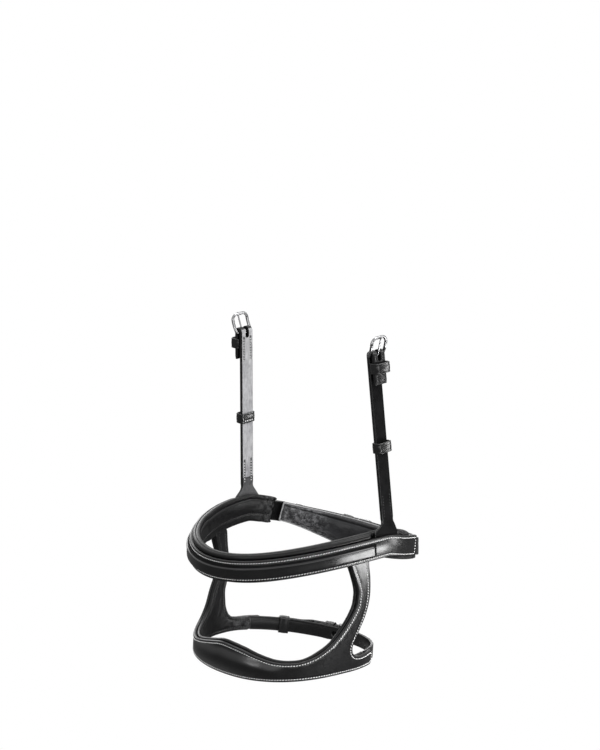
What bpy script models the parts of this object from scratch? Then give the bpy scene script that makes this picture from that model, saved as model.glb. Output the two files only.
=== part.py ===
"""Double noseband for a bridle: an upper padded band round the nose and a lower band round the muzzle,
joined by two curved arms, with a padded jaw closure, a chin closure and two buckled hanger straps.

Metres, +Z up, +X to the near (left) side of the horse and -Y to the front of the nose. The origin lies midway
between the heel bars of the two hanger buckles, where the headpiece straps hold the noseband up.
"""

import math

import bmesh
import bpy
import numpy as np
from mathutils.geometry import delaunay_2d_cdt

# Clearance between pieces that touch, and the chamfer along cut leather edges
GAP = 0.0003
EDGE_CHAMFER = 0.0006

# Upper loop, measured at the seam between its padding and its leather, heights at the padding's top rim
NOSE_HALF_WIDTH = 0.092
NOSE_FRONT_REACH = 0.123
NOSE_REAR_REACH = 0.092
NOSE_FRONT_ROUNDNESS = 2.0
NOSE_REAR_ROUNDNESS = 2.2
NOSE_FRONT_DROP = 0.0146
NOSE_REAR_DROP = 0.031

# Upper band, heights measured from its middle line
BAND_HEIGHT = 0.0258
BAND_PADDING_THICKNESS = 0.006
BAND_LEATHER_THICKNESS = 0.0035
BAND_LEATHER_TOP = 0.0082
BAND_LEATHER_BOTTOM = -0.0112
BAND_TAIL_HALF_HEIGHT = 0.0098
BAND_PADDING_END = 109.0
BAND_LEATHER_END = 117.0
PANEL_END = 82.5
PANEL_TOP = 0.0042
PANEL_BOTTOM = -0.0078
PANEL_CROWN_TOP = 0.0013
PANEL_RISE = 0.0027
PANEL_END_BEVEL = 0.0042

# Lower loop, measured along its bottom edge, and how far that edge lies under the upper rim
MUZZLE_HALF_WIDTH = 0.0805
MUZZLE_FRONT_REACH = 0.0695
MUZZLE_REAR_REACH = 0.087
MUZZLE_FRONT_ROUNDNESS = 2.5
MUZZLE_REAR_ROUNDNESS = 1.85
MUZZLE_AHEAD = 0.039
MUZZLE_DROP = 0.130
MUZZLE_TILT = 0.0042
MUZZLE_SAG = 0.0043

# Lower nosepiece: leather, lining and the foam that swells its front
LOWER_LEATHER_THICKNESS = 0.003
LOWER_LINING_THICKNESS = 0.0035
LOWER_LINING_LIP = 0.0013
OFF_ARM_AHEAD = 8.0
NOSE_DEPTH = 0.0308
CHEEK_DEPTH = 0.0168
TAIL_HEIGHT = 0.0133
TAIL_END = 116.0
TAIL_LINING_END = 107.5
ARM_TUCK = 0.0155
ARM_JOIN = -0.0075
ARM_PLAY = 0.0002
TAIL_UPRIGHT = 0.85
SWELL_HEIGHT = 0.0050
SWELL_HALF_ANGLE = 44.0
FOAM_HALF_ANGLE = 31.0

# Hangers: a shaped ear sewn into the upper band and a strap with a buckle
HANGER_RISE = 0.158
HANGER_LEAN_IN = 0.0095
HANGER_LEAN_FORWARD = 0.009
HANGER_WIDTH = 0.014
HANGER_THICKNESS = 0.0032
EAR_WIDTH = 0.027
EAR_NECK_WIDTH = 0.0142
EAR_THICKNESS = 0.002
EAR_TUCK = 0.0145
EAR_STAND = 0.009
HANGER_KEEPER_BELOW_BAR = 0.083

# Straps of the two closures
CLOSURE_THICKNESS = 0.0026
CHIN_WIDTH = 0.013
CHIN_BAR_ANGLE = 190.0
CHIN_KEEPER_ANGLE = 228.0
CHIN_BILLET_END = 236.0
JAW_WIDTH = 0.016
JAW_OVERLAP_START = 109.8
JAW_BAR_ANGLE = 201.0
JAW_KEEPER_ANGLE = 233.5
JAW_BILLET_END = 237.5
JAW_STRAP_STAND = 0.0027

# Jaw pad and its leather backing
PAD_START = 124.5
PAD_END = 245.5
PAD_MIDDLE = 190.0
PAD_HALF_HEIGHT_START = 0.0095
PAD_HALF_HEIGHT_MIDDLE = 0.0154
PAD_SAG = 0.0022
PAD_END_LIFT = 0.0010
PAD_HALF_HEIGHT_END = 0.0085
PAD_THICKNESS = 0.0076
PAD_END_THICKNESS = 0.0048
BACKING_THICKNESS = 0.0016
BACKING_INSET = 0.0010
BACKING_LIP = 0.0008

# Buckles: bar, frame wire, tongue, the leather turn round the bar, and keepers
BAR_RADIUS = 0.0012
WIRE_RADIUS = 0.0014
FRAME_LENGTH = 0.017
FRAME_SIDE_PLAY = 0.0005
FRAME_ARCH = 0.0012
FRAME_HEEL_CORNER = 0.0016
FRAME_FRONT_CORNER = 0.005
HANGER_FRAME_TILT = 20.0
CLOSURE_FRAME_RISE = 0.0024
TONGUE_RADIUS = 0.00072
BAR_PLAY = 0.0003
TURN_FOLD = 0.026
TURN_SLOT_WIDTH = 0.0044
TURN_SLOT_BACK = 0.0052
KEEPER_WALL = 0.0012
KEEPER_LENGTH = 0.0095
KEEPER_SIDE_PLAY = 0.0004
FIXED_KEEPER_START = 0.0062
BILLET_THICKNESS = 0.003
SLIDE_PLAY = 0.0006
HOLE_SPACING = 0.012
HOLE_RADIUS = 0.0012
USED_HOLE_LENGTH = 0.0085

# Colours as linear values, with roughness and metallic value
FINISHES = {
    "black_leather": ((0.012, 0.012, 0.013), 0.38, 0.0),
    "soft_lining": ((0.016, 0.016, 0.017), 0.62, 0.0),
    "padding_foam": ((0.05, 0.05, 0.05), 0.9, 0.0),
    "flesh_leather": ((0.40, 0.40, 0.39), 0.75, 0.0),
    "stainless_steel": ((0.62, 0.62, 0.61), 0.22, 1.0),
}

LOOP_SAMPLES = 1440
BAND_STEP = 0.008
STRAP_STEP = 0.004
RIM_Z = -HANGER_RISE
LOOP_Y = HANGER_LEAN_FORWARD


def clear_scene():
    for thing in list(bpy.data.objects):
        bpy.data.objects.remove(thing, do_unlink=True)


def make_materials():
    made = {}
    for name, (colour, roughness, metallic) in FINISHES.items():
        material = bpy.data.materials.new(name)
        material.use_nodes = True
        shader = material.node_tree.nodes["Principled BSDF"]
        shader.inputs["Base Color"].default_value = (*colour, 1.0)
        shader.inputs["Roughness"].default_value = roughness
        shader.inputs["Metallic"].default_value = metallic
        material.diffuse_color = (*colour, 1.0)
        made[name] = material
    return made


def unit(vectors):
    return vectors / np.linalg.norm(vectors, axis=-1, keepdims=True)


def ease(value, low, high):
    """0 up to low, 1 from high on, and a smooth rise between them."""
    share = np.clip((np.asarray(value, float) - low) / (high - low), 0.0, 1.0)
    return share * share * (3.0 - 2.0 * share)


def stations_between(start, end, step):
    """Distances from start to end: both ends, and every multiple of step between them, so that pieces that
    lie on each other bend at the same places."""
    low, high = min(start, end), max(start, end)
    first = math.ceil((low + 0.25 * step) / step)
    last = math.floor((high - 0.25 * step) / step)
    inner = [k * step for k in range(first, last + 1)]
    line = [low, *inner, high]
    return np.array(line if start < end else line[::-1])


def eased_line(knots, step):
    """(distance, out) points from level to level of the knots, which all lie one way."""
    knots = np.array(knots, float)
    distances = stations_between(knots[0, 0], knots[-1, 0], step)
    outs = []
    for distance in distances:
        out = knots[0, 1]
        for (begin, level), (finish, following) in zip(knots, knots[1:]):
            if begin != finish:
                share = float(ease((distance - begin) / (finish - begin), 0.0, 1.0))
                out += (following - level) * share
        outs.append(out)
    return [(d, o) for d, o in zip(distances, outs)]


def smooth_line(points, step):
    """Points about one step apart on a Catmull-Rom curve through the given points."""
    points = np.array(points, float)
    ends = [2 * points[0] - points[1], *points, 2 * points[-1] - points[-2]]
    line = []
    for before, start, end, after in zip(ends, ends[1:], ends[2:], ends[3:]):
        count = max(1, round(np.linalg.norm(end - start) / step))
        for share in np.arange(count) / count:
            line.append(
                0.5
                * (
                    2 * start
                    + (end - before) * share
                    + (2 * before - 5 * start + 4 * end - after) * share**2
                    + (3 * start - before - 3 * end + after) * share**3
                )
            )
    line.append(points[-1])
    return np.array(line)


def round_plan(angle, half_width, front_reach, rear_reach, front_roundness, rear_roundness):
    """Plan of a loop whose front and rear halves are superellipses of one width. Angle 0 is at the front."""
    sine, cosine = np.sin(angle), np.cos(angle)
    power = np.where(cosine > 0, front_roundness, rear_roundness)
    reach = np.where(cosine > 0, front_reach, rear_reach)
    radius = (np.abs(sine) ** power + np.abs(cosine) ** power) ** (-1.0 / power)
    return half_width * sine * radius, -reach * cosine * radius


def nose_course(angle):
    """Middle line of the upper band. It hangs lower at the front and the rear than at the hangers."""
    x, y = round_plan(
        angle, NOSE_HALF_WIDTH, NOSE_FRONT_REACH, NOSE_REAR_REACH, NOSE_FRONT_ROUNDNESS, NOSE_REAR_ROUNDNESS
    )
    front = np.clip(np.cos(angle), 0.0, 1.0) ** 2
    rear = np.clip(-np.cos(angle), 0.0, 1.0) ** 1.25
    z = RIM_Z - BAND_HEIGHT / 2 - NOSE_FRONT_DROP * front - NOSE_REAR_DROP * rear
    return np.stack([x, y + LOOP_Y, z], axis=-1)


def muzzle_course(angle):
    """Bottom edge of the lower nosepiece."""
    x, y = round_plan(
        angle,
        MUZZLE_HALF_WIDTH,
        MUZZLE_FRONT_REACH,
        MUZZLE_REAR_REACH,
        MUZZLE_FRONT_ROUNDNESS,
        MUZZLE_REAR_ROUNDNESS,
    )
    z = RIM_Z - MUZZLE_DROP + MUZZLE_TILT * np.cos(angle) - MUZZLE_SAG * np.cos(2 * angle)
    return np.stack([x, y + LOOP_Y - MUZZLE_AHEAD, z], axis=-1)


class Loop:
    """A closed line, the same left and right. Distance runs from the middle of the front, + to the near side.
    lean(angle) may give the direction to face, which is otherwise level."""

    def __init__(self, course, lean=None):
        self.course = course
        self.lean = lean
        self.angle = np.linspace(-math.pi, math.pi, LOOP_SAMPLES + 1)
        steps = np.linalg.norm(np.diff(course(self.angle), axis=0), axis=1)
        arc = np.concatenate([[0.0], np.cumsum(steps)])
        self.arc = arc - arc[LOOP_SAMPLES // 2]
        self.length = arc[-1]

    def angle_at(self, distance):
        half = self.length / 2
        wrapped = (np.asarray(distance, float) + half) % self.length - half
        return np.interp(wrapped, self.arc, self.angle)

    def distance_at(self, degrees):
        """Distance at an angle, which may run on past 180 degrees round the rear."""
        turns, rest = divmod(degrees + 180.0, 360.0)
        return turns * self.length + float(np.interp(math.radians(rest - 180.0), self.angle, self.arc))

    def axes_at(self, distance):
        """Middle, direction along, direction out and direction across, the last close to +Z."""
        step = 0.001
        before = self.course(self.angle_at(np.asarray(distance) - step))
        after = self.course(self.angle_at(np.asarray(distance) + step))
        along = unit(after - before)
        level = unit(np.stack([along[..., 1], -along[..., 0], np.zeros_like(along[..., 0])], axis=-1))
        if self.lean is not None:
            level = self.lean(self.angle_at(distance))
            level = unit(level - np.sum(level * along, axis=-1, keepdims=True) * along)
        across = np.cross(level, along)
        return self.course(self.angle_at(distance)), along, level, across

    def place(self, distance, out, across):
        middle, _, outward, upward = self.axes_at(distance)
        return middle + outward * np.asarray(out)[..., None] + upward * np.asarray(across)[..., None]


class Rigid:
    """A straight set of axes for parts that don't bend: along, out and across from one point."""

    def __init__(self, origin, along, out):
        self.origin = np.array(origin, float)
        self.along = unit(np.array(along, float))
        out = np.array(out, float)
        self.out = unit(out - out @ self.along * self.along)
        self.across = np.cross(self.out, self.along)

    def place(self, along, out, across):
        along, out, across = (np.asarray(v, float)[..., None] for v in (along, out, across))
        return self.origin + along * self.along + out * self.out + across * self.across

    def tilted(self, degrees):
        """The same axes turned outwards about the direction across."""
        turn = math.radians(degrees)
        along = self.along * math.cos(turn) + self.out * math.sin(turn)
        out = self.out * math.cos(turn) - self.along * math.sin(turn)
        return Rigid(self.origin, along, out)


NOSE = Loop(nose_course)
MUZZLE = Loop(muzzle_course)


def skin_base(angle, rise):
    """Surface of the lower nosepiece, ruled from the lower loop up to the lower part of the upper band, and
    flat against the inside of the band's leather above that."""
    foot = muzzle_course(angle)
    distance = np.interp(angle, NOSE.angle, NOSE.arc)
    level = np.full(np.shape(angle), 1.0)
    head = NOSE.place(distance, -(GAP + LOWER_LEATHER_THICKNESS) * level, ARM_JOIN * level)
    slope = head - foot
    upright = 1.0 - TAIL_UPRIGHT * ease(np.abs(angle), math.radians(90), math.radians(118))
    slope = slope * np.stack([upright, upright, np.ones_like(upright)], axis=-1)
    reach = slope[..., 2]
    below = np.minimum(rise, reach)
    _, _, _, upward = NOSE.axes_at(distance)
    return foot + slope * (below / reach)[..., None] + upward * (rise - below)[..., None]


def skin_normal(angle, rise):
    turn, lift = 0.002, 0.0005
    round_loop = skin_base(angle + turn, rise) - skin_base(angle - turn, rise)
    upward = skin_base(angle, rise + lift) - skin_base(angle, rise - lift)
    return unit(np.cross(round_loop, upward))


def skin(degrees, rise, out):
    """Point of the lower nosepiece: angle round the loop, rise above the bottom edge, distance out."""
    angle, rise = np.radians(degrees), np.asarray(rise, float)
    return skin_base(angle, rise) + skin_normal(angle, rise) * np.asarray(out)[..., None]


def chin_course(angle):
    return skin_base(angle, np.full(np.shape(angle), TAIL_HEIGHT / 2))


def chin_lean(angle):
    """The chin strap faces as the lower nosepiece's tails do."""
    return skin_normal(angle, np.full(np.shape(angle), TAIL_HEIGHT / 2))


CHIN = Loop(chin_course, chin_lean)


def nose_rise(degrees):
    """Height of the lower nosepiece's front above its bottom edge."""
    edge = np.array(WINDOW_EDGE[:6])
    return np.interp(np.abs(degrees), edge[:, 0], edge[:, 1])


def swell(degrees, rise):
    """How far the foam pushes the leather of the front outwards."""
    place = (np.asarray(rise) / nose_rise(degrees) - 0.48) / 0.40
    height = np.clip(1.0 - place**2, 0.0, 1.0) ** 1.3
    length = np.clip(1.0 - (np.asarray(degrees) / SWELL_HALF_ANGLE) ** 2, 0.0, 1.0) ** 1.2
    return SWELL_HEIGHT * height * length


# Lower nosepiece's pattern on the near side: degrees round the loop and rise above the bottom edge
ARM_FOOT_RISE = MUZZLE_SAG + 0.0004
ARM_TOP = MUZZLE_DROP - ARM_FOOT_RISE - BAND_HEIGHT + ARM_TUCK
WINDOW_EDGE = (
    (0, NOSE_DEPTH),
    (14, 0.0279),
    (26, 0.0222),
    (36, 0.0181),
    (45, CHEEK_DEPTH),
    (53, 0.0175),
    (62, 0.0218),
    (70.6, 0.0306),
    (77.2, 0.0440),
    (80.6, 0.0573),
    (80.2, 0.0671),
    (78.6, 0.0759),
    (72, 0.0960),
    (68, ARM_TOP),
)
ARM_REAR_EDGE = (
    (80, ARM_TOP),
    (81.3, 0.0990),
    (85, 0.0835),
    (88.6, 0.0660),
    (89.6, 0.0510),
    (88, 0.0355),
    (86.6, 0.0250),
    (88.2, 0.0180),
    (92, 0.0140),
    (98, 0.0124),
    (106, 0.0128),
    (TAIL_END, TAIL_HEIGHT),
)


def attach(thing, origin, parent):
    """Puts an object at a point of the part, below another object."""
    bpy.context.scene.collection.objects.link(thing)
    thing["origin"] = [float(v) for v in origin]
    thing.location = tuple(origin)
    if parent is not None:
        thing.parent = parent
        thing.location = tuple(np.array(origin, float) - np.array(parent["origin"]))
    return thing


def new_object(name, points, faces, material, origin=(0, 0, 0), parent=None, sharp=40.0):
    """One closed mesh as an object whose origin is its joint's axis, or the part's own origin."""
    mesh = bpy.data.meshes.new(name)
    start = np.array(origin, float)
    mesh.from_pydata([tuple(p) for p in np.asarray(points) - start], [], [tuple(f) for f in faces])
    form = bmesh.new()
    form.from_mesh(mesh)
    bmesh.ops.recalc_face_normals(form, faces=form.faces)
    form.to_mesh(mesh)
    form.free()
    mesh.shade_smooth()
    mesh.set_sharp_from_angle(angle=math.radians(sharp))
    mesh.materials.append(material)
    return attach(bpy.data.objects.new(name, mesh), start, parent)


def new_body(name, origin=(0, 0, 0), parent=None):
    """An empty that stands for a rigid body, on its joint's axis."""
    body = bpy.data.objects.new(name, None)
    body.empty_display_size = 0.01
    return attach(body, origin, parent)


def ring_faces(rings, sides, closed=False):
    """Faces of a skin over rings of points, with its two ends capped unless the rings close on themselves."""
    faces = []
    for ring in range(rings if closed else rings - 1):
        here, there = ring * sides, (ring + 1) % rings * sides
        for side in range(sides):
            beside = (side + 1) % sides
            faces.append((here + side, here + beside, there + beside, there + side))
    if not closed:
        faces.append(tuple(range(sides)))
        faces.append(tuple((rings - 1) * sides + side for side in reversed(range(sides))))
    return faces


def mirrored(points, side):
    return np.asarray(points) * np.array([side, 1.0, 1.0])


def swept(place, stations, section):
    """Rings of points: section(k) gives the (out, across) points of station k."""
    rings = []
    for index, station in enumerate(stations):
        profile = np.array(section(index), float)
        rings.append(place(np.full(len(profile), station), profile[:, 0], profile[:, 1]))
    return np.concatenate(rings), len(rings[0])


def strap_mesh(place, line, thickness, width):
    """A strap with chamfered edges along a line of (along, out) points. Thickness and width may vary."""
    line = np.array(line, float)
    count = len(line)
    thickness = np.broadcast_to(np.asarray(thickness, float), (count,))
    width = np.broadcast_to(np.asarray(width, float), (count,))
    ahead = unit(np.gradient(line, axis=0))
    normal = np.stack([-ahead[:, 1], ahead[:, 0]], axis=1)
    points = []
    for middle, side, deep, wide in zip(line, normal, thickness / 2, width / 2):
        cut = min(EDGE_CHAMFER, deep * 0.6, wide * 0.6)
        for depth, across in (
            (deep, wide - cut),
            (deep - cut, wide),
            (cut - deep, wide),
            (-deep, wide - cut),
            (-deep, cut - wide),
            (cut - deep, -wide),
            (deep - cut, -wide),
            (deep, cut - wide),
        ):
            spot = middle + side * depth
            points.append(place(spot[0], spot[1], across))
    return np.array(points), ring_faces(count, 8)


def tube_mesh(path, radii, side, sides=8, closed=False):
    """A round wire along a flat path, whose plane is square to the vector side."""
    path = np.array(path, float)
    if closed:
        ahead = unit(np.roll(path, -1, axis=0) - np.roll(path, 1, axis=0))
    else:
        ahead = unit(np.gradient(path, axis=0))
    other = np.cross(ahead, side)
    turn = np.linspace(0, 2 * math.pi, sides, endpoint=False)
    radii = np.broadcast_to(np.asarray(radii, float), (len(path),))
    points = [
        middle + radius * (math.cos(t) * side + math.sin(t) * beside)
        for middle, radius, beside in zip(path, radii, other)
        for t in turn
    ]
    return np.array(points), ring_faces(len(path), sides, closed)


def arc_point(middle_out, middle_across, radius, degrees):
    turn = math.radians(degrees)
    return middle_out + radius * math.cos(turn), middle_across + radius * math.sin(turn)


def rounded_rectangle(low, high, half_width, radius, per_corner=4):
    """(out, across) points round a rectangle from low to high and from -half_width to half_width."""
    corners = (
        (high - radius, half_width - radius, 0),
        (low + radius, half_width - radius, 90),
        (low + radius, radius - half_width, 180),
        (high - radius, radius - half_width, 270),
    )
    return [
        arc_point(out, across, radius, start + turn)
        for out, across, start in corners
        for turn in np.linspace(0, 90, per_corner)
    ]


def keeper_mesh(axes, middle, low, high, half_width):
    """A flat leather loop round a strap. low, high and half_width are the inside of the loop."""
    wall, half = KEEPER_WALL, KEEPER_LENGTH / 2
    cut = 0.35 * wall
    inner = rounded_rectangle(low, high, half_width, 0.0009)
    outer = rounded_rectangle(low - wall, high + wall, half_width + wall, 0.0009 + wall)
    trimmed = rounded_rectangle(
        low - wall + cut, high + wall - cut, half_width + wall - cut, 0.0009 + wall - cut
    )
    levels = (
        (inner, -half),
        (trimmed, -half),
        (outer, cut - half),
        (outer, half - cut),
        (trimmed, half),
        (inner, half),
    )
    points = [
        axes.place(middle + along, out, across) for outline, along in levels for out, across in outline
    ]
    return np.array(points), ring_faces(len(levels), len(inner), closed=True)


def inside(points, outline):
    """Which points lie inside a closed outline."""
    result = np.zeros(len(points), bool)
    for start, end in zip(outline, np.roll(outline, -1, axis=0)):
        crosses = (start[1] > points[:, 1]) != (end[1] > points[:, 1])
        rise = np.where(end[1] == start[1], 1e-12, end[1] - start[1])
        at = start[0] + (points[:, 1] - start[1]) * (end[0] - start[0]) / rise
        result ^= crosses & (points[:, 0] < at)
    return result


def inset(outline, amount):
    """The outline moved inwards. It runs anticlockwise in metres."""
    ahead = unit(np.roll(outline, -1, axis=0) - outline)
    behind = np.roll(ahead, 1, axis=0)
    inward = unit(np.stack([-(ahead + behind)[:, 1], (ahead + behind)[:, 0]], axis=1))
    opening = np.clip(np.sum(unit(ahead + behind) * ahead, axis=1), 0.5, 1.0)
    return outline + inward * (amount / opening)[:, None]


def sheet_mesh(outline, within, bend, low, high, chamfer=EDGE_CHAMFER):
    """A closed sheet over a flat pattern in metres. bend(points, out) puts it in place, and low and high are
    its two faces' distances out at given points."""
    outline = np.array(outline, float)
    inner = inset(outline, chamfer)
    keep = np.array(within, float).reshape(-1, 2)
    keep = keep[inside(keep, inset(outline, 3 * chamfer))]
    flat = np.concatenate([inner, keep])
    count = len(outline)
    edges = [(i, (i + 1) % count) for i in range(count)]
    found, _, faces, _, _, _ = delaunay_2d_cdt([tuple(p) for p in flat], edges, [], 1, 1e-7)
    found = np.array([tuple(p) for p in found])
    if len(found) != len(flat):
        raise ValueError("the pattern's outline crosses itself")
    points = np.concatenate(
        [
            bend(flat, high(flat)),
            bend(flat, low(flat)),
            bend(outline, high(outline) - chamfer),
            bend(outline, low(outline) + chamfer),
        ]
    )
    total = len(flat)
    made = [tuple(f) for f in faces] + [tuple(i + total for i in reversed(f)) for f in faces]
    levels = (0, 2 * total, 2 * total + count, total)
    for upper, lower in zip(levels, levels[1:]):
        for i, j in edges:
            made.append((upper + i, lower + i, lower + j, upper + j))
    return points, made


def add_cut(target, cutter):
    cut = target.modifiers.new(cutter.name, "BOOLEAN")
    cut.operation = "DIFFERENCE"
    cut.object = cutter
    cutter.hide_render = True
    cutter.display_type = "WIRE"


def slot_cutter(name, axes, along_low, along_high, out_low, out_high, width, material):
    """A round-ended slot through a strap, long the way the strap runs."""
    radius = width / 2
    outline = [
        (end + radius * math.cos(math.radians(turn)), radius * math.sin(math.radians(turn)))
        for end, start in ((along_high - radius, -90), (along_low + radius, 90))
        for turn in np.linspace(start, start + 180, 9)
    ]
    points = [axes.place(along, out, across) for out in (out_low, out_high) for along, across in outline]
    return new_object(name, points, ring_faces(2, len(outline)), material)


def round_cutter(name, axes_list, radius, reach, material):
    """Round punches, one at each set of axes, as one cutter."""
    sides = 10
    points, faces = [], []
    for axes in axes_list:
        start = len(points)
        for out in (-reach, reach):
            for turn in np.linspace(0, 2 * math.pi, sides, endpoint=False):
                points.append(axes.place(radius * math.cos(turn), out, radius * math.sin(turn)))
        faces += [tuple(start + i for i in face) for face in ring_faces(2, sides)]
    return new_object(name, points, faces, material)


def frame_mesh(axes, strap_width):
    """Buckle frame: a straight heel bar, two arched sides and a round-cornered front bar."""
    half = strap_width / 2 + FRAME_SIDE_PLAY + WIRE_RADIUS
    heel, front, length = FRAME_HEEL_CORNER, FRAME_FRONT_CORNER, FRAME_LENGTH
    path = [(0.0, 0.0), (0.0, half - heel - 0.0012)]
    path += [arc_point(heel, half - heel, heel, turn) for turn in np.linspace(180, 90, 4)]
    path.append((length / 2, half))
    path += [arc_point(length - front, half - front, front, turn) for turn in np.linspace(90, 0, 6)]
    path.append((length, 0.0))
    path = np.array(path + [(along, -across) for along, across in path[-2:0:-1]])
    arch = FRAME_ARCH * np.sin(math.pi * path[:, 0] / length)
    on_bar = (path[:, 0] < 1e-6) & (np.abs(path[:, 1]) < half - heel - 0.0005)
    radii = np.where(on_bar, BAR_RADIUS, WIRE_RADIUS)
    return tube_mesh(axes.place(path[:, 0], arch, path[:, 1]), radii, axes.out, sides=8, closed=True)


def tongue_mesh(axes):
    """Buckle tongue: a curl round the heel bar and a straight stem that rests on the front bar."""
    curl = BAR_RADIUS + BAR_PLAY + TONGUE_RADIUS
    rest = WIRE_RADIUS + TONGUE_RADIUS + GAP
    path = [
        (-curl * math.sin(math.radians(turn)), curl * math.cos(math.radians(turn)))
        for turn in np.linspace(285, 0, 11)
    ]
    path += [
        (share * FRAME_LENGTH, curl + (rest - curl) * share) for share in (0.3, 0.65, 1.0)
    ]
    path.append((FRAME_LENGTH + 0.0018, rest - 0.0002))
    path = np.array(path)
    radii = np.full(len(path), TONGUE_RADIUS)
    radii[-1] *= 0.75
    points = axes.place(path[:, 0], path[:, 1], np.zeros(len(path)))
    return tube_mesh(points, radii, axes.across, sides=8)


def turn_line(bar_along, bar_out, thickness, direction, step):
    """Middle line of leather that turns round the heel bar and folds back on its outer side."""
    radius = BAR_RADIUS + BAR_PLAY + thickness / 2
    line = [arc_point(bar_along, bar_out, radius, -90 - direction * turn) for turn in np.linspace(0, 180, 9)]
    folded = stations_between(bar_along, bar_along + direction * (TURN_FOLD - 0.003), step)[1:]
    line += [(along, bar_out + radius) for along in folded]
    line.append((bar_along + direction * TURN_FOLD, bar_out + radius))
    return line


def both_sides(distances):
    """The same distances on the off side and the near side, from 0 on."""
    distances = np.asarray(distances, float)
    return np.concatenate([-distances[::-1], distances[distances > 0]])


def build_upper_band(body, materials):
    """Padding, leather and raised panel of the nose band."""
    near_pocket = NOSE.distance_at(WINDOW_EDGE[-1][0]) - 0.006
    off_pocket = NOSE.distance_at(WINDOW_EDGE[-1][0] - OFF_ARM_AHEAD) - 0.006
    pocket_rear = NOSE.distance_at(90) + EAR_WIDTH / 2 + 0.003
    ear_front = NOSE.distance_at(90) - EAR_WIDTH / 2 - 0.003
    arm_lean = (NOSE_HALF_WIDTH - LOWER_LEATHER_THICKNESS - MUZZLE_HALF_WIDTH) / (MUZZLE_DROP - BAND_HEIGHT)
    arm_depth = LOWER_LEATHER_THICKNESS + GAP + ARM_PLAY + abs(arm_lean) * (BAND_HEIGHT / 2 + ARM_JOIN)
    ear_depth = EAR_THICKNESS + GAP

    end = NOSE.distance_at(BAND_PADDING_END)
    stations = []
    for side, pocket_front in ((-1, off_pocket), (1, near_pocket)):
        half_band = [
            *stations_between(0, pocket_front - 0.006, BAND_STEP)[1:],
            *stations_between(pocket_front, ear_front - 0.003, BAND_STEP),
            *stations_between(ear_front, pocket_rear, BAND_STEP),
            *stations_between(pocket_rear + 0.006, end, BAND_STEP),
        ]
        stations += [side * distance for distance in half_band]
    stations = sorted([0.0, *stations])
    half = BAND_HEIGHT / 2

    def padding(index):
        distance = abs(stations[index])
        pocket_front = near_pocket if stations[index] > 0 else off_pocket
        before = ease(distance, pocket_front - 0.006, pocket_front)
        after = 1 - ease(distance, pocket_rear, pocket_rear + 0.006)
        at_ear = ease(distance, ear_front - 0.003, ear_front) * after
        inner = -BAND_PADDING_THICKNESS - 0.0009 * before * after
        low_outer = -GAP / 2 - arm_depth * before * after
        high_outer = -GAP / 2 - ear_depth * at_ear
        closing = 1 - 0.12 * ease(distance, end - 0.006, end)
        thick = (high_outer - inner) / 2
        profile = [arc_point(inner + thick, half - thick, thick, turn) for turn in (40, 90, 140)]
        profile += [(inner - 0.0003, half * 0.45), (inner - 0.0003, -half * 0.45)]
        thick = (low_outer - inner) / 2
        profile += [arc_point(inner + thick, thick - half, thick, turn) for turn in (220, 270, 320, 360)]
        step = 0.006
        profile += [(low_outer, step), (high_outer, step + 0.0012), (high_outer, half - 0.003)]
        return [(out, across * closing) for out, across in profile]

    points, sides = swept(NOSE.place, stations, padding)
    faces = ring_faces(len(stations), sides)
    new_object("nose_padding", points, faces, materials["soft_lining"], parent=body)

    end = NOSE.distance_at(BAND_LEATHER_END)
    stations = both_sides(stations_between(0, end, BAND_STEP))
    inner = GAP / 2
    outer = inner + BAND_LEATHER_THICKNESS

    def leather(index):
        taper = ease(abs(stations[index]), NOSE.distance_at(101), end)
        top = BAND_LEATHER_TOP + (BAND_TAIL_HALF_HEIGHT - BAND_LEATHER_TOP) * taper
        bottom = BAND_LEATHER_BOTTOM + (-BAND_TAIL_HALF_HEIGHT - BAND_LEATHER_BOTTOM) * taper
        cut = 0.0009
        return (
            (inner, bottom + cut),
            (inner + cut, bottom),
            (outer - cut, bottom),
            (outer, bottom + cut),
            (outer, top - cut),
            (outer - cut, top),
            (inner + cut, top),
            (inner, top - cut),
        )

    points, sides = swept(NOSE.place, stations, leather)
    faces = ring_faces(len(stations), sides)
    new_object("nose_strap", points, faces, materials["black_leather"], parent=body)

    end = NOSE.distance_at(PANEL_END)
    stations = both_sides([*stations_between(0, end - PANEL_END_BEVEL, BAND_STEP), end])
    base = outer + GAP

    def panel(index):
        lift = 0.15 if index in (0, len(stations) - 1) else 1.0
        profile = (
            (0.0, PANEL_BOTTOM),
            (0.75, PANEL_BOTTOM + 0.0007),
            (0.96, PANEL_BOTTOM + 0.0020),
            (1.0, (PANEL_BOTTOM + PANEL_CROWN_TOP) / 2),
            (0.96, PANEL_CROWN_TOP),
            (0.12, PANEL_TOP - 0.0002),
            (0.0, PANEL_TOP),
        )
        return [(base + PANEL_RISE * lift * rise, across) for rise, across in profile]

    points, sides = swept(NOSE.place, stations, panel)
    faces = ring_faces(len(stations), sides)
    new_object("nose_panel", points, faces, materials["black_leather"], parent=body)


def metres_pattern(edge):
    """The pattern's degrees as metres round the lower loop."""
    return np.array([(MUZZLE.distance_at(degrees), rise) for degrees, rise in edge])


def bend_on_skin(points, out):
    degrees = np.degrees(MUZZLE.angle_at(points[:, 0]))
    return skin(degrees, points[:, 1], out)


def off_side(points):
    """The same pattern on the off side, where the arm stands further forward."""
    ahead = MUZZLE.distance_at(90) - MUZZLE.distance_at(90 - OFF_ARM_AHEAD)
    shift = ahead * ease(points[:, 1], 0.014, 0.045)
    return np.stack([shift - points[:, 0], points[:, 1]], axis=1)


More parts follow.
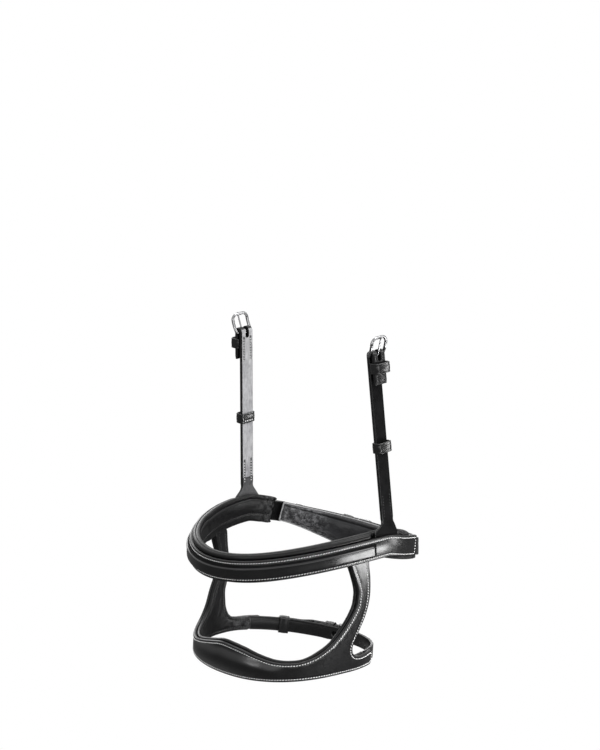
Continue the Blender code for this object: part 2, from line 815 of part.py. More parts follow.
def lower_outline(window, rear, tail_end, step):
    """Anticlockwise outline of the whole lower nosepiece from its near half."""
    window = metres_pattern(window)
    rear = metres_pattern(rear)
    top = smooth_line(np.concatenate([off_side(window)[:0:-1], window]), step)
    arm = smooth_line(rear, step)
    tail = MUZZLE.distance_at(tail_end)
    bottom_count = round(2 * tail / (1.25 * step))
    bottom = np.stack([np.linspace(-tail, tail, bottom_count + 1), np.zeros(bottom_count + 1)], axis=1)
    return np.concatenate([bottom, arm[::-1], top[::-1], off_side(arm)])


def build_lower_nosepiece(body, materials):
    """Leather, lining and foam of the lower band with its two arms."""
    half_gap = GAP / 2
    grid = [
        (MUZZLE.distance_at(degrees), share * float(nose_rise(degrees)))
        for degrees in np.linspace(-40, 40, 11)
        for share in (0.2, 0.36, 0.5, 0.64, 0.8)
    ]

    def leather_low(points):
        return half_gap + swell(np.degrees(MUZZLE.angle_at(points[:, 0])), points[:, 1])

    def leather_high(points):
        return leather_low(points) + LOWER_LEATHER_THICKNESS

    outline = lower_outline(WINDOW_EDGE, ARM_REAR_EDGE, TAIL_END, 0.0072)
    points, faces = sheet_mesh(outline, grid, bend_on_skin, leather_low, leather_high)
    new_object("lower_nosepiece", points, faces, materials["black_leather"], parent=body)

    lining_top = MUZZLE_DROP - ARM_FOOT_RISE - BAND_HEIGHT - 0.003
    lip = LOWER_LINING_LIP
    window = [
        (degrees - (0 if degrees < 60 else 0.8), rise + (lip if degrees < 66 else 0.0))
        for degrees, rise in WINDOW_EDGE
        if rise < lining_top - 0.008
    ]
    edge = np.array(WINDOW_EDGE[-5:])
    window.append((float(np.interp(lining_top, edge[:, 1], edge[:, 0])) - 0.8, lining_top))
    rear = [(82.3, lining_top)] + [
        (degrees, rise)
        for degrees, rise in ARM_REAR_EDGE
        if rise < lining_top - 0.008 and degrees < TAIL_LINING_END
    ]
    rear.append((TAIL_LINING_END, TAIL_HEIGHT))
    outline = lower_outline(window, rear, TAIL_LINING_END, 0.0072)
    points, faces = sheet_mesh(
        outline,
        [],
        bend_on_skin,
        lambda p: np.full(len(p), -GAP - half_gap - LOWER_LINING_THICKNESS),
        lambda p: np.full(len(p), -GAP - half_gap),
        chamfer=0.0012,
    )
    new_object("lower_lining", points, faces, materials["soft_lining"], parent=body)

    outline = []
    for turn in np.radians(np.linspace(0, 360, 30, endpoint=False)):
        degrees = FOAM_HALF_ANGLE * math.cos(turn)
        share = 0.48 + 0.29 * math.sin(turn)
        outline.append((MUZZLE.distance_at(degrees), float(nose_rise(degrees)) * share))
    points, faces = sheet_mesh(
        outline,
        grid,
        bend_on_skin,
        lambda p: np.full(len(p), half_gap),
        lambda p: swell(np.degrees(MUZZLE.angle_at(p[:, 0])), p[:, 1]) - GAP,
        chamfer=0.0002,
    )
    new_object("nose_foam", points, faces, materials["padding_foam"], parent=body)


def hanger_axes():
    """Axes of the near hanger strap: its fold line, and the heel bar of its buckle."""
    ear_middle = -GAP / 2 - EAR_THICKNESS / 2
    fold_across = BAND_HEIGHT / 2 + EAR_STAND + GAP + HANGER_THICKNESS / 2
    seat = NOSE.distance_at(90)
    foot = NOSE.place(seat, ear_middle, fold_across)
    _, along, out, _ = NOSE.axes_at(seat)
    rise = -foot[2]
    up = np.array([-HANGER_LEAN_IN, -HANGER_LEAN_FORWARD, rise])
    axes = Rigid(foot, up, out)
    return axes, float(np.linalg.norm(up))


def build_hanger(side, name, root, materials):
    """Ear, strap, two keepers, buckle frame and tongue of one hanger. side is 1 for near and -1 for off."""
    seat = NOSE.distance_at(90)
    half = BAND_HEIGHT / 2
    neck, wide = EAR_NECK_WIDTH / 2, EAR_WIDTH / 2
    top = half + EAR_STAND
    edge = [(wide - 0.002, half - EAR_TUCK), (wide, half - EAR_TUCK + 0.002), (wide, half - 0.001)]
    for turn in (20, 42, 66):
        narrowed = (1 - math.sin(math.radians(turn))) ** 1.2
        edge.append((neck + (wide - neck) * narrowed, half - 0.001 + (EAR_STAND + 0.001) * turn / 90))
    edge.append((neck, top))
    outline = edge + [(-along, across) for along, across in reversed(edge)]
    outline += [(share * wide, half - EAR_TUCK) for share in (-0.45, 0.0, 0.45)]
    heights = [half - EAR_TUCK + rise for rise in (0.005, 0.012, 0.019)]
    within = [(share * wide, height) for share in (-0.5, 0.0, 0.5) for height in heights]
    slant = HANGER_LEAN_FORWARD / HANGER_RISE
    outline = [
        (along - slant * share * EAR_STAND, across + slant * share * along)
        for along, across in outline
        for share in [float(ease(across, half - 0.001, top))]
    ]

    def bend(points, out):
        return NOSE.place(seat + points[:, 0], out, points[:, 1])

    low, high = -GAP / 2 - EAR_THICKNESS, -GAP / 2
    points, faces = sheet_mesh(
        outline, within, bend, lambda p: np.full(len(p), low), lambda p: np.full(len(p), high), chamfer=0.0004
    )
    new_object(f"{name}_ear", mirrored(points, side), faces, materials["black_leather"], parent=root)

    axes, reach = hanger_axes()
    bar_out = BAR_RADIUS + BAR_PLAY + HANGER_THICKNESS / 2
    fold = new_body(f"{name}_hanger", mirrored(axes.origin, side), root)
    round_end = HANGER_THICKNESS / 2
    line = [(-0.96 * round_end, 0.0), (-0.7 * round_end, 0.0), (0.0, 0.0), (reach * 0.5, 0.0)]
    thickness = [0.28 * HANGER_THICKNESS, 0.714 * HANGER_THICKNESS, HANGER_THICKNESS, HANGER_THICKNESS]
    turn = turn_line(reach, bar_out, HANGER_THICKNESS, -1, TURN_FOLD)
    line += turn
    thickness += [HANGER_THICKNESS] * (len(turn) - 1) + [0.55 * HANGER_THICKNESS]
    points, faces = strap_mesh(axes.place, line, thickness, HANGER_WIDTH)
    fold_point = mirrored(axes.origin, side)
    strap = new_object(
        f"{name}_hanger_strap", mirrored(points, side), faces, materials["black_leather"], fold_point, fold
    )
    turn_axes = Rigid(axes.place(reach, bar_out, 0.0), axes.along, axes.out)
    turn_axes_side = Rigid(
        mirrored(turn_axes.origin, side), mirrored(turn_axes.along, side), mirrored(turn_axes.out, side)
    )
    cutter = slot_cutter(
        f"{name}_turn_slot", turn_axes_side, -TURN_SLOT_BACK, 0.007, -0.008, 0.008, TURN_SLOT_WIDTH,
        materials["black_leather"],
    )
    add_cut(strap, cutter)

    keeper_half = HANGER_WIDTH / 2 + KEEPER_SIDE_PLAY
    folded_face = BAR_RADIUS + BAR_PLAY + HANGER_THICKNESS
    points, faces = keeper_mesh(
        turn_axes,
        -FIXED_KEEPER_START - KEEPER_LENGTH / 2,
        KEEPER_WALL / 2,
        folded_face + BILLET_THICKNESS + 2 * GAP,
        keeper_half,
    )
    points = mirrored(points, side)
    new_object(f"{name}_hanger_fixed_keeper", points, faces, materials["black_leather"], fold_point, fold)

    slide_at = reach - HANGER_KEEPER_BELOW_BAR
    slide_point = mirrored(axes.place(slide_at, 0.0, 0.0), side)
    face = HANGER_THICKNESS / 2
    points, faces = keeper_mesh(axes, slide_at, -face - GAP, face + BILLET_THICKNESS + 2 * GAP, keeper_half)
    new_object(
        f"{name}_hanger_sliding_keeper",
        mirrored(points, side),
        faces,
        materials["black_leather"],
        slide_point,
        new_body(f"{name}_hanger_keeper", slide_point, fold),
    )

    buckle_axes = turn_axes.tilted(HANGER_FRAME_TILT)
    bar_point = mirrored(buckle_axes.origin, side)
    buckle = new_body(f"{name}_hanger_buckle", bar_point, fold)
    tongue = new_body(f"{name}_hanger_tongue", bar_point, buckle)
    steel = materials["stainless_steel"]
    points, faces = frame_mesh(buckle_axes, HANGER_WIDTH)
    new_object(f"{name}_hanger_buckle_frame", mirrored(points, side), faces, steel, bar_point, buckle)
    points, faces = tongue_mesh(buckle_axes)
    new_object(f"{name}_hanger_buckle_tongue", mirrored(points, side), faces, steel, bar_point, tongue)


def build_closure(
    name, loop, width, bar_angle, keeper_angle, strap_line, billet_line, billet_end, under, root, materials
):
    """Buckle strap from the off side, billet from the near side, two keepers, frame and tongue.
    strap_line and billet_line hold (distance, out) points from each strap's sewn end up to the buckle;
    under is the buckle strap's distance out at the bar."""
    thickness = CLOSURE_THICKNESS
    radius = BAR_RADIUS + BAR_PLAY + thickness / 2
    bar = loop.distance_at(bar_angle)
    bar_out = under + radius
    front_out = bar_out + CLOSURE_FRAME_RISE
    over = bar_out + radius + thickness + 1.5 * GAP

    line = eased_line(strap_line, STRAP_STEP)[:-1] + turn_line(bar, bar_out, thickness, 1, STRAP_STEP)
    points, faces = strap_mesh(loop.place, line, thickness, width)
    strap = new_object(f"{name}_buckle_strap", points, faces, materials["black_leather"], parent=root)

    through = front_out - WIRE_RADIUS - 2 * GAP - thickness / 2
    on_strap = under + thickness + 1.5 * GAP
    end = loop.distance_at(billet_end)
    knots = list(billet_line) + [
        (bar - FRAME_LENGTH - 0.003, through),
        (bar - FRAME_LENGTH + 0.0015, through),
        (bar - 0.0005, over),
        (bar + TURN_FOLD + 0.001, over),
        (bar + TURN_FOLD + 0.013, on_strap),
        (end, on_strap),
    ]
    line = eased_line(knots, STRAP_STEP)
    tip = (end - np.array(line)[:, 0]) / 0.009
    widths = width * np.where(tip < 1, np.sqrt(np.clip(1 - (1 - tip) ** 2, 0.04, 1.0)), 1.0)
    points, faces = strap_mesh(loop.place, line, thickness, widths)
    billet = new_object(f"{name}_billet", points, faces, materials["black_leather"], parent=root)

    heel = loop.place(bar, bar_out, 0.0)
    front_at = bar - FRAME_LENGTH
    for _ in range(4):
        reach = float(np.linalg.norm(loop.place(front_at, front_out, 0.0) - heel))
        front_at = bar - (bar - front_at) * FRAME_LENGTH / reach
    front = loop.place(front_at, front_out, 0.0)
    _, along, outward, upward = loop.axes_at(bar)
    turn_axes = Rigid(heel, -along, outward)
    across = unit(np.cross(outward, front - heel)) - upward
    buckle_axes = Rigid(heel, front - heel, np.cross(front - heel, across))
    slot = slot_cutter(
        f"{name}_turn_slot", turn_axes, -TURN_SLOT_BACK, 0.007, -0.0045, 0.0045, TURN_SLOT_WIDTH,
        materials["black_leather"],
    )
    add_cut(strap, slot)

    used = bar - 0.0075
    crossing = Rigid(loop.place(used, (through + over) / 2, 0.0), front - heel, outward)
    hole = slot_cutter(
        f"{name}_used_hole", crossing, -USED_HOLE_LENGTH / 2, USED_HOLE_LENGTH / 2, -0.006, 0.006,
        TURN_SLOT_WIDTH, materials["black_leather"],
    )
    add_cut(billet, hole)
    spare = []
    for step in (-3, -2, 2, 3):
        at = used + step * HOLE_SPACING
        if at < end - 0.012:
            out = float(np.interp(at, np.array(line)[:, 0], np.array(line)[:, 1]))
            _, hole_along, hole_out, _ = loop.axes_at(at)
            spare.append(Rigid(loop.place(at, out, 0.0), hole_along, hole_out))
    add_cut(billet, round_cutter(f"{name}_spare_holes", spare, HOLE_RADIUS, 0.004, materials["black_leather"]))

    half = width / 2 + KEEPER_SIDE_PLAY
    middle = FIXED_KEEPER_START + KEEPER_LENGTH / 2
    keeper_at = bar + middle
    centre = loop.place(keeper_at, bar_out, 0.0)
    _, along, outward, _ = loop.axes_at(keeper_at)
    points, faces = keeper_mesh(
        Rigid(centre, -along, outward), 0.0, KEEPER_WALL / 2, over - bar_out + thickness / 2 + 2 * GAP, half
    )
    new_object(f"{name}_fixed_keeper", points, faces, materials["black_leather"], parent=root)

    slide_at = loop.distance_at(keeper_angle)
    _, along, outward, _ = loop.axes_at(slide_at)
    slide_point = loop.place(slide_at, under, 0.0)
    low = -thickness / 2 - SLIDE_PLAY
    high = on_strap - under + thickness / 2 + GAP
    points, faces = keeper_mesh(Rigid(slide_point, -along, outward), 0.0, low, high, half)
    new_object(
        f"{name}_sliding_keeper", points, faces, materials["black_leather"], slide_point,
        new_body(f"{name}_keeper", slide_point, root),
    )

    buckle = new_body(f"{name}_buckle", heel, root)
    tongue = new_body(f"{name}_tongue", heel, buckle)
    points, faces = frame_mesh(buckle_axes, width)
    new_object(f"{name}_buckle_frame", points, faces, materials["stainless_steel"], heel, buckle)
    points, faces = tongue_mesh(buckle_axes)
    new_object(f"{name}_buckle_tongue", points, faces, materials["stainless_steel"], heel, tongue)


def build_chin_closure(root, materials):
    thickness = CLOSURE_THICKNESS
    sewn = -GAP / 2 - thickness / 2
    start = CHIN.distance_at(TAIL_LINING_END + 1.4)
    bar = CHIN.distance_at(CHIN_BAR_ANGLE)
    strap_start = CHIN.length - start
    strap_line = [(strap_start, sewn), (bar, sewn)]
    billet_line = [(start, sewn)]
    build_closure(
        "chin", CHIN, CHIN_WIDTH, CHIN_BAR_ANGLE, CHIN_KEEPER_ANGLE, strap_line, billet_line, CHIN_BILLET_END,
        sewn, root, materials,
    )


def build_jaw_closure(root, materials):
    thickness = CLOSURE_THICKNESS
    behind_tail = -GAP / 2 - thickness / 2
    over_tail = 1.5 * GAP + BAND_LEATHER_THICKNESS + thickness / 2
    start = NOSE.distance_at(JAW_OVERLAP_START)
    tail = NOSE.distance_at(BAND_LEATHER_END)
    bar = NOSE.distance_at(JAW_BAR_ANGLE)
    on_backing = -BACKING_INSET + GAP + thickness / 2
    strap_start, strap_tail = NOSE.length - start, NOSE.length - tail
    strap_line = [
        (strap_start, over_tail),
        (strap_tail - 0.001, over_tail),
        (strap_tail - 0.009, JAW_STRAP_STAND),
        (bar, JAW_STRAP_STAND),
    ]
    billet_line = [
        (start, behind_tail),
        (tail + 0.001, behind_tail),
        (tail + 0.011, on_backing),
        (bar - FRAME_LENGTH - 0.018, on_backing),
    ]
    build_closure(
        "jaw", NOSE, JAW_WIDTH, JAW_BAR_ANGLE, JAW_KEEPER_ANGLE, strap_line, billet_line, JAW_BILLET_END,
        JAW_STRAP_STAND, root, materials,
    )


def build_jaw_pad(root, materials):
    """Soft pad under the jaw, and the leather sheet that it is sewn to."""
    start, end = NOSE.distance_at(PAD_START), NOSE.distance_at(PAD_END)
    middle = NOSE.distance_at(PAD_MIDDLE)
    stations = [start, *stations_between(start + 0.0015, end - 0.0015, BAND_STEP), end]

    def half_height(distance):
        near = ease(distance, start, middle)
        off = ease(distance, middle, end)
        grown = PAD_HALF_HEIGHT_START + (PAD_HALF_HEIGHT_MIDDLE - PAD_HALF_HEIGHT_START) * near
        return grown + (PAD_HALF_HEIGHT_END - PAD_HALF_HEIGHT_MIDDLE) * off

    backing_outer = -BACKING_INSET
    backing_inner = backing_outer - BACKING_THICKNESS

    def level(distance):
        sag = PAD_SAG * (1 - ease(distance, middle, end))
        return PAD_END_LIFT * ease(distance, middle, end) - sag * ease(distance, start, middle)

    def backing(index):
        tall = half_height(stations[index]) + BACKING_LIP
        cut = 0.0005
        profile = (
            (backing_inner, cut - tall),
            (backing_inner + cut, -tall),
            (backing_outer - cut, -tall),
            (backing_outer, cut - tall),
            (backing_outer, tall - cut),
            (backing_outer - cut, tall),
            (backing_inner + cut, tall),
            (backing_inner, tall - cut),
        )
        return [(out, across + level(stations[index])) for out, across in profile]

    points, sides = swept(NOSE.place, stations, backing)
    faces = ring_faces(len(stations), sides)
    new_object("jaw_pad_backing", points, faces, materials["black_leather"], parent=root)

    pad_outer = backing_inner - GAP

    def pad(index):
        distance = stations[index]
        from_end = min(distance - start, end - distance)
        full = float(ease(from_end, -0.004, 0.016))
        thick = PAD_END_THICKNESS + (PAD_THICKNESS - PAD_END_THICKNESS) * full
        if index in (0, len(stations) - 1):
            thick *= 0.6
        tall = half_height(distance)
        profile = ((0, -0.93), (0.35, -1.0), (0.75, -0.9), (0.97, -0.55), (1.0, 0.0))
        lower = [(pad_outer - thick * deep, tall * share) for deep, share in profile]
        upper = [(out, -across) for out, across in reversed(lower[:-1])]
        return [(out, across + level(distance)) for out, across in lower + upper]

    points, sides = swept(NOSE.place, stations, pad)
    new_object("jaw_pad", points, ring_faces(len(stations), sides), materials["soft_lining"], parent=root)


def main():
    clear_scene()
    materials = make_materials()
    root = new_body("noseband")
    build_upper_band(root, materials)
    build_lower_nosepiece(root, materials)
    build_jaw_pad(root, materials)
    build_jaw_closure(root, materials)
    build_chin_closure(root, materials)
    for side, name in ((1, "near"), (-1, "off")):
        build_hanger(side, name, root, materials)


main()
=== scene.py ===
"""Looks of a double noseband: padded leather, raised panel, stitching, buckles and the studio round it.

Metres, +Z up, +X to the near (left) side of the horse and -Y to the front of the nose. Every piece follows
the courses that the CAD part was swept along, in finer steps, so that it lies where its CAD node lies.
"""

import math

import bmesh
import bpy
import numpy as np
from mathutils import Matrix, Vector, noise
from mathutils.geometry import delaunay_2d_cdt


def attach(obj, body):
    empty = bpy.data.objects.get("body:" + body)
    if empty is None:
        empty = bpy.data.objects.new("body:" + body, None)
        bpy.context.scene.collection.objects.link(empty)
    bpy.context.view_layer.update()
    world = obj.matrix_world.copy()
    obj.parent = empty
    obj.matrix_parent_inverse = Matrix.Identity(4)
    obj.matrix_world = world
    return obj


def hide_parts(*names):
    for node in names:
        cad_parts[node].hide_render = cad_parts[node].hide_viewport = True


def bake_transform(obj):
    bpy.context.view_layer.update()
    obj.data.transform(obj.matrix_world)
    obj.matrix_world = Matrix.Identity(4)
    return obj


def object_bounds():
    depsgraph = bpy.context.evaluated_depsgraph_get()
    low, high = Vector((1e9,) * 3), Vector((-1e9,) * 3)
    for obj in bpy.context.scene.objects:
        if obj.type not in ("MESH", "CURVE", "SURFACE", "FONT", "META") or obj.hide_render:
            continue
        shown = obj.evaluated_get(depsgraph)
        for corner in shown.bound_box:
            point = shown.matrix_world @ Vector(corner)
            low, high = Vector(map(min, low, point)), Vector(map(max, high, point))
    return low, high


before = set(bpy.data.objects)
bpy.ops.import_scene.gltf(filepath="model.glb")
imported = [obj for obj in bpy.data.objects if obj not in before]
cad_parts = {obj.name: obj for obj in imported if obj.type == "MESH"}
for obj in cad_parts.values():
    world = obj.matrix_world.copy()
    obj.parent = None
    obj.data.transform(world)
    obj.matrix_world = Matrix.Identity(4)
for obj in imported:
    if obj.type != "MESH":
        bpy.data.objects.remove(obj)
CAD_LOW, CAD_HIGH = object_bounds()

bl_info = {
    "name": "Double noseband",
    "version": (1, 0, 0),
    "blender": (4, 5, 0),
    "location": "3D View > Sidebar > Noseband",
    "description": "Builds the padded leather, stitching and buckles of a double noseband and its studio",
    "category": "Object",
}

ROOT = "noseband"

# Clearance between pieces that touch
GAP = 0.0003

# Upper loop at the seam between padding and leather, heights at the padding's top rim
NOSE_HALF_WIDTH = 0.092
NOSE_FRONT_REACH = 0.123
NOSE_REAR_REACH = 0.092
NOSE_FRONT_ROUNDNESS = 2.0
NOSE_REAR_ROUNDNESS = 2.2
NOSE_FRONT_DROP = 0.0146
NOSE_REAR_DROP = 0.031

# Upper band, heights from its middle line
BAND_HEIGHT = 0.0258
BAND_PADDING_THICKNESS = 0.006
BAND_LEATHER_THICKNESS = 0.0035
BAND_LEATHER_TOP = 0.0082
BAND_LEATHER_BOTTOM = -0.0112
BAND_TAIL_HALF_HEIGHT = 0.0098
BAND_PADDING_END = 109.0
BAND_LEATHER_END = 117.0
PANEL_END = 82.5
PANEL_TOP = 0.0042
PANEL_BOTTOM = -0.0078
PANEL_CROWN_TOP = 0.0013
PANEL_RISE = 0.0027
PANEL_END_BEVEL = 0.0042
BAND_OUTER = GAP / 2 + BAND_LEATHER_THICKNESS
BOTTOM_ROW_INSET = 0.0025
BAND_CORNER = 0.0011
POCKET_MARGIN = 0.003
POCKET_SLOPE = 0.006
UPPER_CHANNEL = 0.0084
LOWER_CHANNEL = -0.0053

# Lower loop along its bottom edge
MUZZLE_HALF_WIDTH = 0.0805
MUZZLE_FRONT_REACH = 0.0695
MUZZLE_REAR_REACH = 0.087
MUZZLE_FRONT_ROUNDNESS = 2.5
MUZZLE_REAR_ROUNDNESS = 1.85
MUZZLE_AHEAD = 0.039
MUZZLE_DROP = 0.130
MUZZLE_TILT = 0.0042
MUZZLE_SAG = 0.0043

# Lower nosepiece
LOWER_LEATHER_THICKNESS = 0.003
LOWER_LINING_THICKNESS = 0.0035
LOWER_LINING_LIP = 0.0013
LINING_FILL = 0.35
LINING_OUTER = -1.5 * GAP
LINING_INNER = LINING_OUTER - LOWER_LINING_THICKNESS
OFF_ARM_AHEAD = 8.0
NOSE_DEPTH = 0.0308
CHEEK_DEPTH = 0.0168
TAIL_HEIGHT = 0.0133
TAIL_END = 116.0
TAIL_LINING_END = 107.5
ARM_TUCK = 0.0155
ARM_JOIN = -0.0075
ARM_PLAY = 0.0002
TAIL_UPRIGHT = 0.85
SWELL_HEIGHT = 0.0050
SWELL_HALF_ANGLE = 44.0
SWELL_MIDDLE = 0.48
SWELL_SPREAD = 0.40

# Hangers
HANGER_RISE = 0.158
HANGER_LEAN_IN = 0.0095
HANGER_LEAN_FORWARD = 0.009
HANGER_WIDTH = 0.014
HANGER_THICKNESS = 0.0032
EAR_WIDTH = 0.027
EAR_NECK_WIDTH = 0.0142
EAR_THICKNESS = 0.002
EAR_TUCK = 0.0145
EAR_STAND = 0.009
HANGER_KEEPER_BELOW_BAR = 0.083
HANGER_ROWS = (-0.0042, 0.0042)
SEWN_START = 0.0056
SEWN_LENGTH = 0.0226
# Length of the painted shadow on the flesh side at a hanger's foot
PAINTED_FOOT_SHADE = 0.0050
FOLD_ACROSS = BAND_HEIGHT / 2 + EAR_STAND + GAP + HANGER_THICKNESS / 2

# Closures
CLOSURE_THICKNESS = 0.0026
CHIN_WIDTH = 0.013
CHIN_BAR_ANGLE = 190.0
CHIN_KEEPER_ANGLE = 228.0
CHIN_BILLET_END = 236.0
JAW_WIDTH = 0.016
JAW_OVERLAP_START = 109.8
JAW_BAR_ANGLE = 201.0
JAW_KEEPER_ANGLE = 233.5
JAW_BILLET_END = 237.5
JAW_STRAP_STAND = 0.0027
CLOSURE_ROW_INSET = 0.0016

# Jaw pad and its backing
PAD_START = 124.5
PAD_END = 245.5
PAD_MIDDLE = 190.0
PAD_HALF_HEIGHT_START = 0.0095
PAD_HALF_HEIGHT_MIDDLE = 0.0154
PAD_HALF_HEIGHT_END = 0.0085
PAD_SAG = 0.0022
PAD_END_LIFT = 0.0010
PAD_THICKNESS = 0.0076
PAD_END_THICKNESS = 0.0048
PAD_RIM_LENGTH = 0.006
BACKING_THICKNESS = 0.0016
BACKING_INSET = 0.0010
BACKING_LIP = 0.0008

# Buckles and keepers
BAR_RADIUS = 0.0012
WIRE_RADIUS = 0.0014
FRAME_LENGTH = 0.017
FRAME_SIDE_PLAY = 0.0005
FRAME_ARCH = 0.0012
FRAME_HEEL_CORNER = 0.0016
FRAME_FRONT_CORNER = 0.005
HANGER_FRAME_TILT = 20.0
CLOSURE_FRAME_RISE = 0.0024
TONGUE_RADIUS = 0.00072
BAR_PLAY = 0.0003
TURN_FOLD = 0.026
TURN_SLOT_WIDTH = 0.0044
TURN_SLOT_BACK = 0.0052
TURN_SLOT_AHEAD = 0.007
KEEPER_WALL = 0.0012
KEEPER_LENGTH = 0.0095
KEEPER_SIDE_PLAY = 0.0004
KEEPER_CROWN = 0.0005
KEEPER_CORNER = 0.0009
KEEPER_CREASE_INSET = 0.0019
KEEPER_CREASE_DEPTH = 0.00014
FIXED_KEEPER_START = 0.0062
BILLET_THICKNESS = 0.003
SLIDE_PLAY = 0.0006
HOLE_SPACING = 0.012
HOLE_RADIUS = 0.0012
USED_HOLE_LENGTH = 0.0085
USED_HOLE_AHEAD = 0.0075

# Steps along the bands and straps, and the size of the net over the lower nosepiece
BAND_STEP = 0.002
STRAP_STEP = 0.0016
SHEET_STEP = 0.0017
LOOP_SAMPLES = 1440
RIM_Z = -HANGER_RISE
LOOP_Y = HANGER_LEAN_FORWARD

# Grooves that stitches sink into
GROOVE_DEPTH = 0.0002
GROOVE_HALF_WIDTH = 0.0007
SHEET_GROOVE_DEPTH = 0.00022
SHEET_GROOVE_HALF_WIDTH = 0.0006

# Where faces meet at more than this many degrees, the edge between them is sharp
SHARP = 48.0
PANEL_SHARP = 60.0
SOFT_SHARP = 75.0
ROUND_SHARP = 80.0

# The side of each hanger, and its name
SIDES = ((1, "near"), (-1, "off"))


def unit(vectors):
    return vectors / np.linalg.norm(vectors, axis=-1, keepdims=True)


def square_to(vectors, along):
    """The part of each vector that is square to along, at unit length."""
    return unit(vectors - np.sum(vectors * along, axis=-1, keepdims=True) * along)


def ease(value, low, high):
    """0 up to low, 1 from high on, and a smooth rise between them."""
    share = np.clip((np.asarray(value, float) - low) / (high - low), 0.0, 1.0)
    return share * share * (3.0 - 2.0 * share)


def bump(value, middle, half_width):
    """1 at the middle and 0 beyond the half width, with a smooth foot."""
    share = np.clip(1.0 - np.abs(np.asarray(value, float) - middle) / half_width, 0.0, 1.0)
    return share * share * (3.0 - 2.0 * share)


def stations_between(start, end, step):
    """Distances from start to end: both ends, and every multiple of step between them."""
    low, high = min(start, end), max(start, end)
    first = math.ceil((low + 0.25 * step) / step)
    last = math.floor((high - 0.25 * step) / step)
    line = [low, *[k * step for k in range(first, last + 1)], high]
    return np.array(line if start < end else line[::-1])


def eased_line(knots, step):
    """(distance, out) points from level to level of the knots, which all lie one way."""
    knots = np.array(knots, float)
    distances = stations_between(knots[0, 0], knots[-1, 0], step)
    outs = np.full(len(distances), knots[0, 1])
    for (begin, level), (finish, following) in zip(knots, knots[1:]):
        if begin != finish:
            outs += (following - level) * ease((distances - begin) / (finish - begin), 0.0, 1.0)
    return list(zip(distances, outs))


def smooth_line(points, step):
    """Points about one step apart on a Catmull-Rom curve through the given points."""
    points = np.array(points, float)
    ends = [2 * points[0] - points[1], *points, 2 * points[-1] - points[-2]]
    line = []
    for before, start, end, after in zip(ends, ends[1:], ends[2:], ends[3:]):
        count = max(1, round(np.linalg.norm(end - start) / step))
        for share in np.arange(count) / count:
            straight = 2 * start + (end - before) * share
            bend = (2 * before - 5 * start + 4 * end - after) * share**2
            line.append(0.5 * (straight + bend + (3 * start - before - 3 * end + after) * share**3))
    line.append(points[-1])
    return np.array(line)


def arc_point(middle_out, middle_across, radius, degrees):
    turn = math.radians(degrees)
    return middle_out + radius * math.cos(turn), middle_across + radius * math.sin(turn)


def arc(middle_out, middle_across, radius, start, end, count):
    return [arc_point(middle_out, middle_across, radius, turn) for turn in np.linspace(start, end, count)]


def round_plan(angle, half_width, front_reach, rear_reach, front_roundness, rear_roundness):
    """Plan of a loop whose front and rear halves are superellipses of one width. Angle 0 is at the front."""
    sine, cosine = np.sin(angle), np.cos(angle)
    power = np.where(cosine > 0, front_roundness, rear_roundness)
    reach = np.where(cosine > 0, front_reach, rear_reach)
    radius = (np.abs(sine) ** power + np.abs(cosine) ** power) ** (-1.0 / power)
    return half_width * sine * radius, -reach * cosine * radius


def nose_course(angle):
    """Middle line of the upper band. It hangs lower at the front and the rear than at the hangers."""
    x, y = round_plan(
        angle, NOSE_HALF_WIDTH, NOSE_FRONT_REACH, NOSE_REAR_REACH, NOSE_FRONT_ROUNDNESS, NOSE_REAR_ROUNDNESS
    )
    front = np.clip(np.cos(angle), 0.0, 1.0) ** 2
    rear = np.clip(-np.cos(angle), 0.0, 1.0) ** 1.25
    z = RIM_Z - BAND_HEIGHT / 2 - NOSE_FRONT_DROP * front - NOSE_REAR_DROP * rear
    return np.stack([x, y + LOOP_Y, z], axis=-1)


def muzzle_course(angle):
    """Bottom edge of the lower nosepiece."""
    x, y = round_plan(
        angle, MUZZLE_HALF_WIDTH, MUZZLE_FRONT_REACH, MUZZLE_REAR_REACH, MUZZLE_FRONT_ROUNDNESS,
        MUZZLE_REAR_ROUNDNESS,
    )
    z = RIM_Z - MUZZLE_DROP + MUZZLE_TILT * np.cos(angle) - MUZZLE_SAG * np.cos(2 * angle)
    return np.stack([x, y + LOOP_Y - MUZZLE_AHEAD, z], axis=-1)


class Loop:
    """A closed line, the same left and right. Distance runs from the middle of the front, + to the near side.
    lean(angle) may give the direction to face, which is otherwise level."""

    def __init__(self, course, lean=None):
        self.course = course
        self.lean = lean
        self.angle = np.linspace(-math.pi, math.pi, LOOP_SAMPLES + 1)
        steps = np.linalg.norm(np.diff(course(self.angle), axis=0), axis=1)
        lengths = np.concatenate([[0.0], np.cumsum(steps)])
        self.arc = lengths - lengths[LOOP_SAMPLES // 2]
        self.length = lengths[-1]

    def angle_at(self, distance):
        half = self.length / 2
        wrapped = (np.asarray(distance, float) + half) % self.length - half
        return np.interp(wrapped, self.arc, self.angle)

    def distance_at(self, degrees):
        """Distance at an angle, which may run on past 180 degrees round the rear."""
        turns, rest = divmod(degrees + 180.0, 360.0)
        return turns * self.length + np.interp(math.radians(rest - 180.0), self.angle, self.arc)

    def axes_at(self, distance):
        """Middle, direction along, direction out and direction across, the last close to +Z."""
        step = 0.001
        before = self.course(self.angle_at(np.asarray(distance) - step))
        after = self.course(self.angle_at(np.asarray(distance) + step))
        along = unit(after - before)
        level = unit(np.stack([along[..., 1], -along[..., 0], np.zeros_like(along[..., 0])], axis=-1))
        if self.lean is not None:
            level = square_to(self.lean(self.angle_at(distance)), along)
        across = np.cross(level, along)
        return self.course(self.angle_at(distance)), along, level, across

    def place(self, distance, out, across):
        middle, _, outward, upward = self.axes_at(distance)
        return middle + outward * np.asarray(out)[..., None] + upward * np.asarray(across)[..., None]


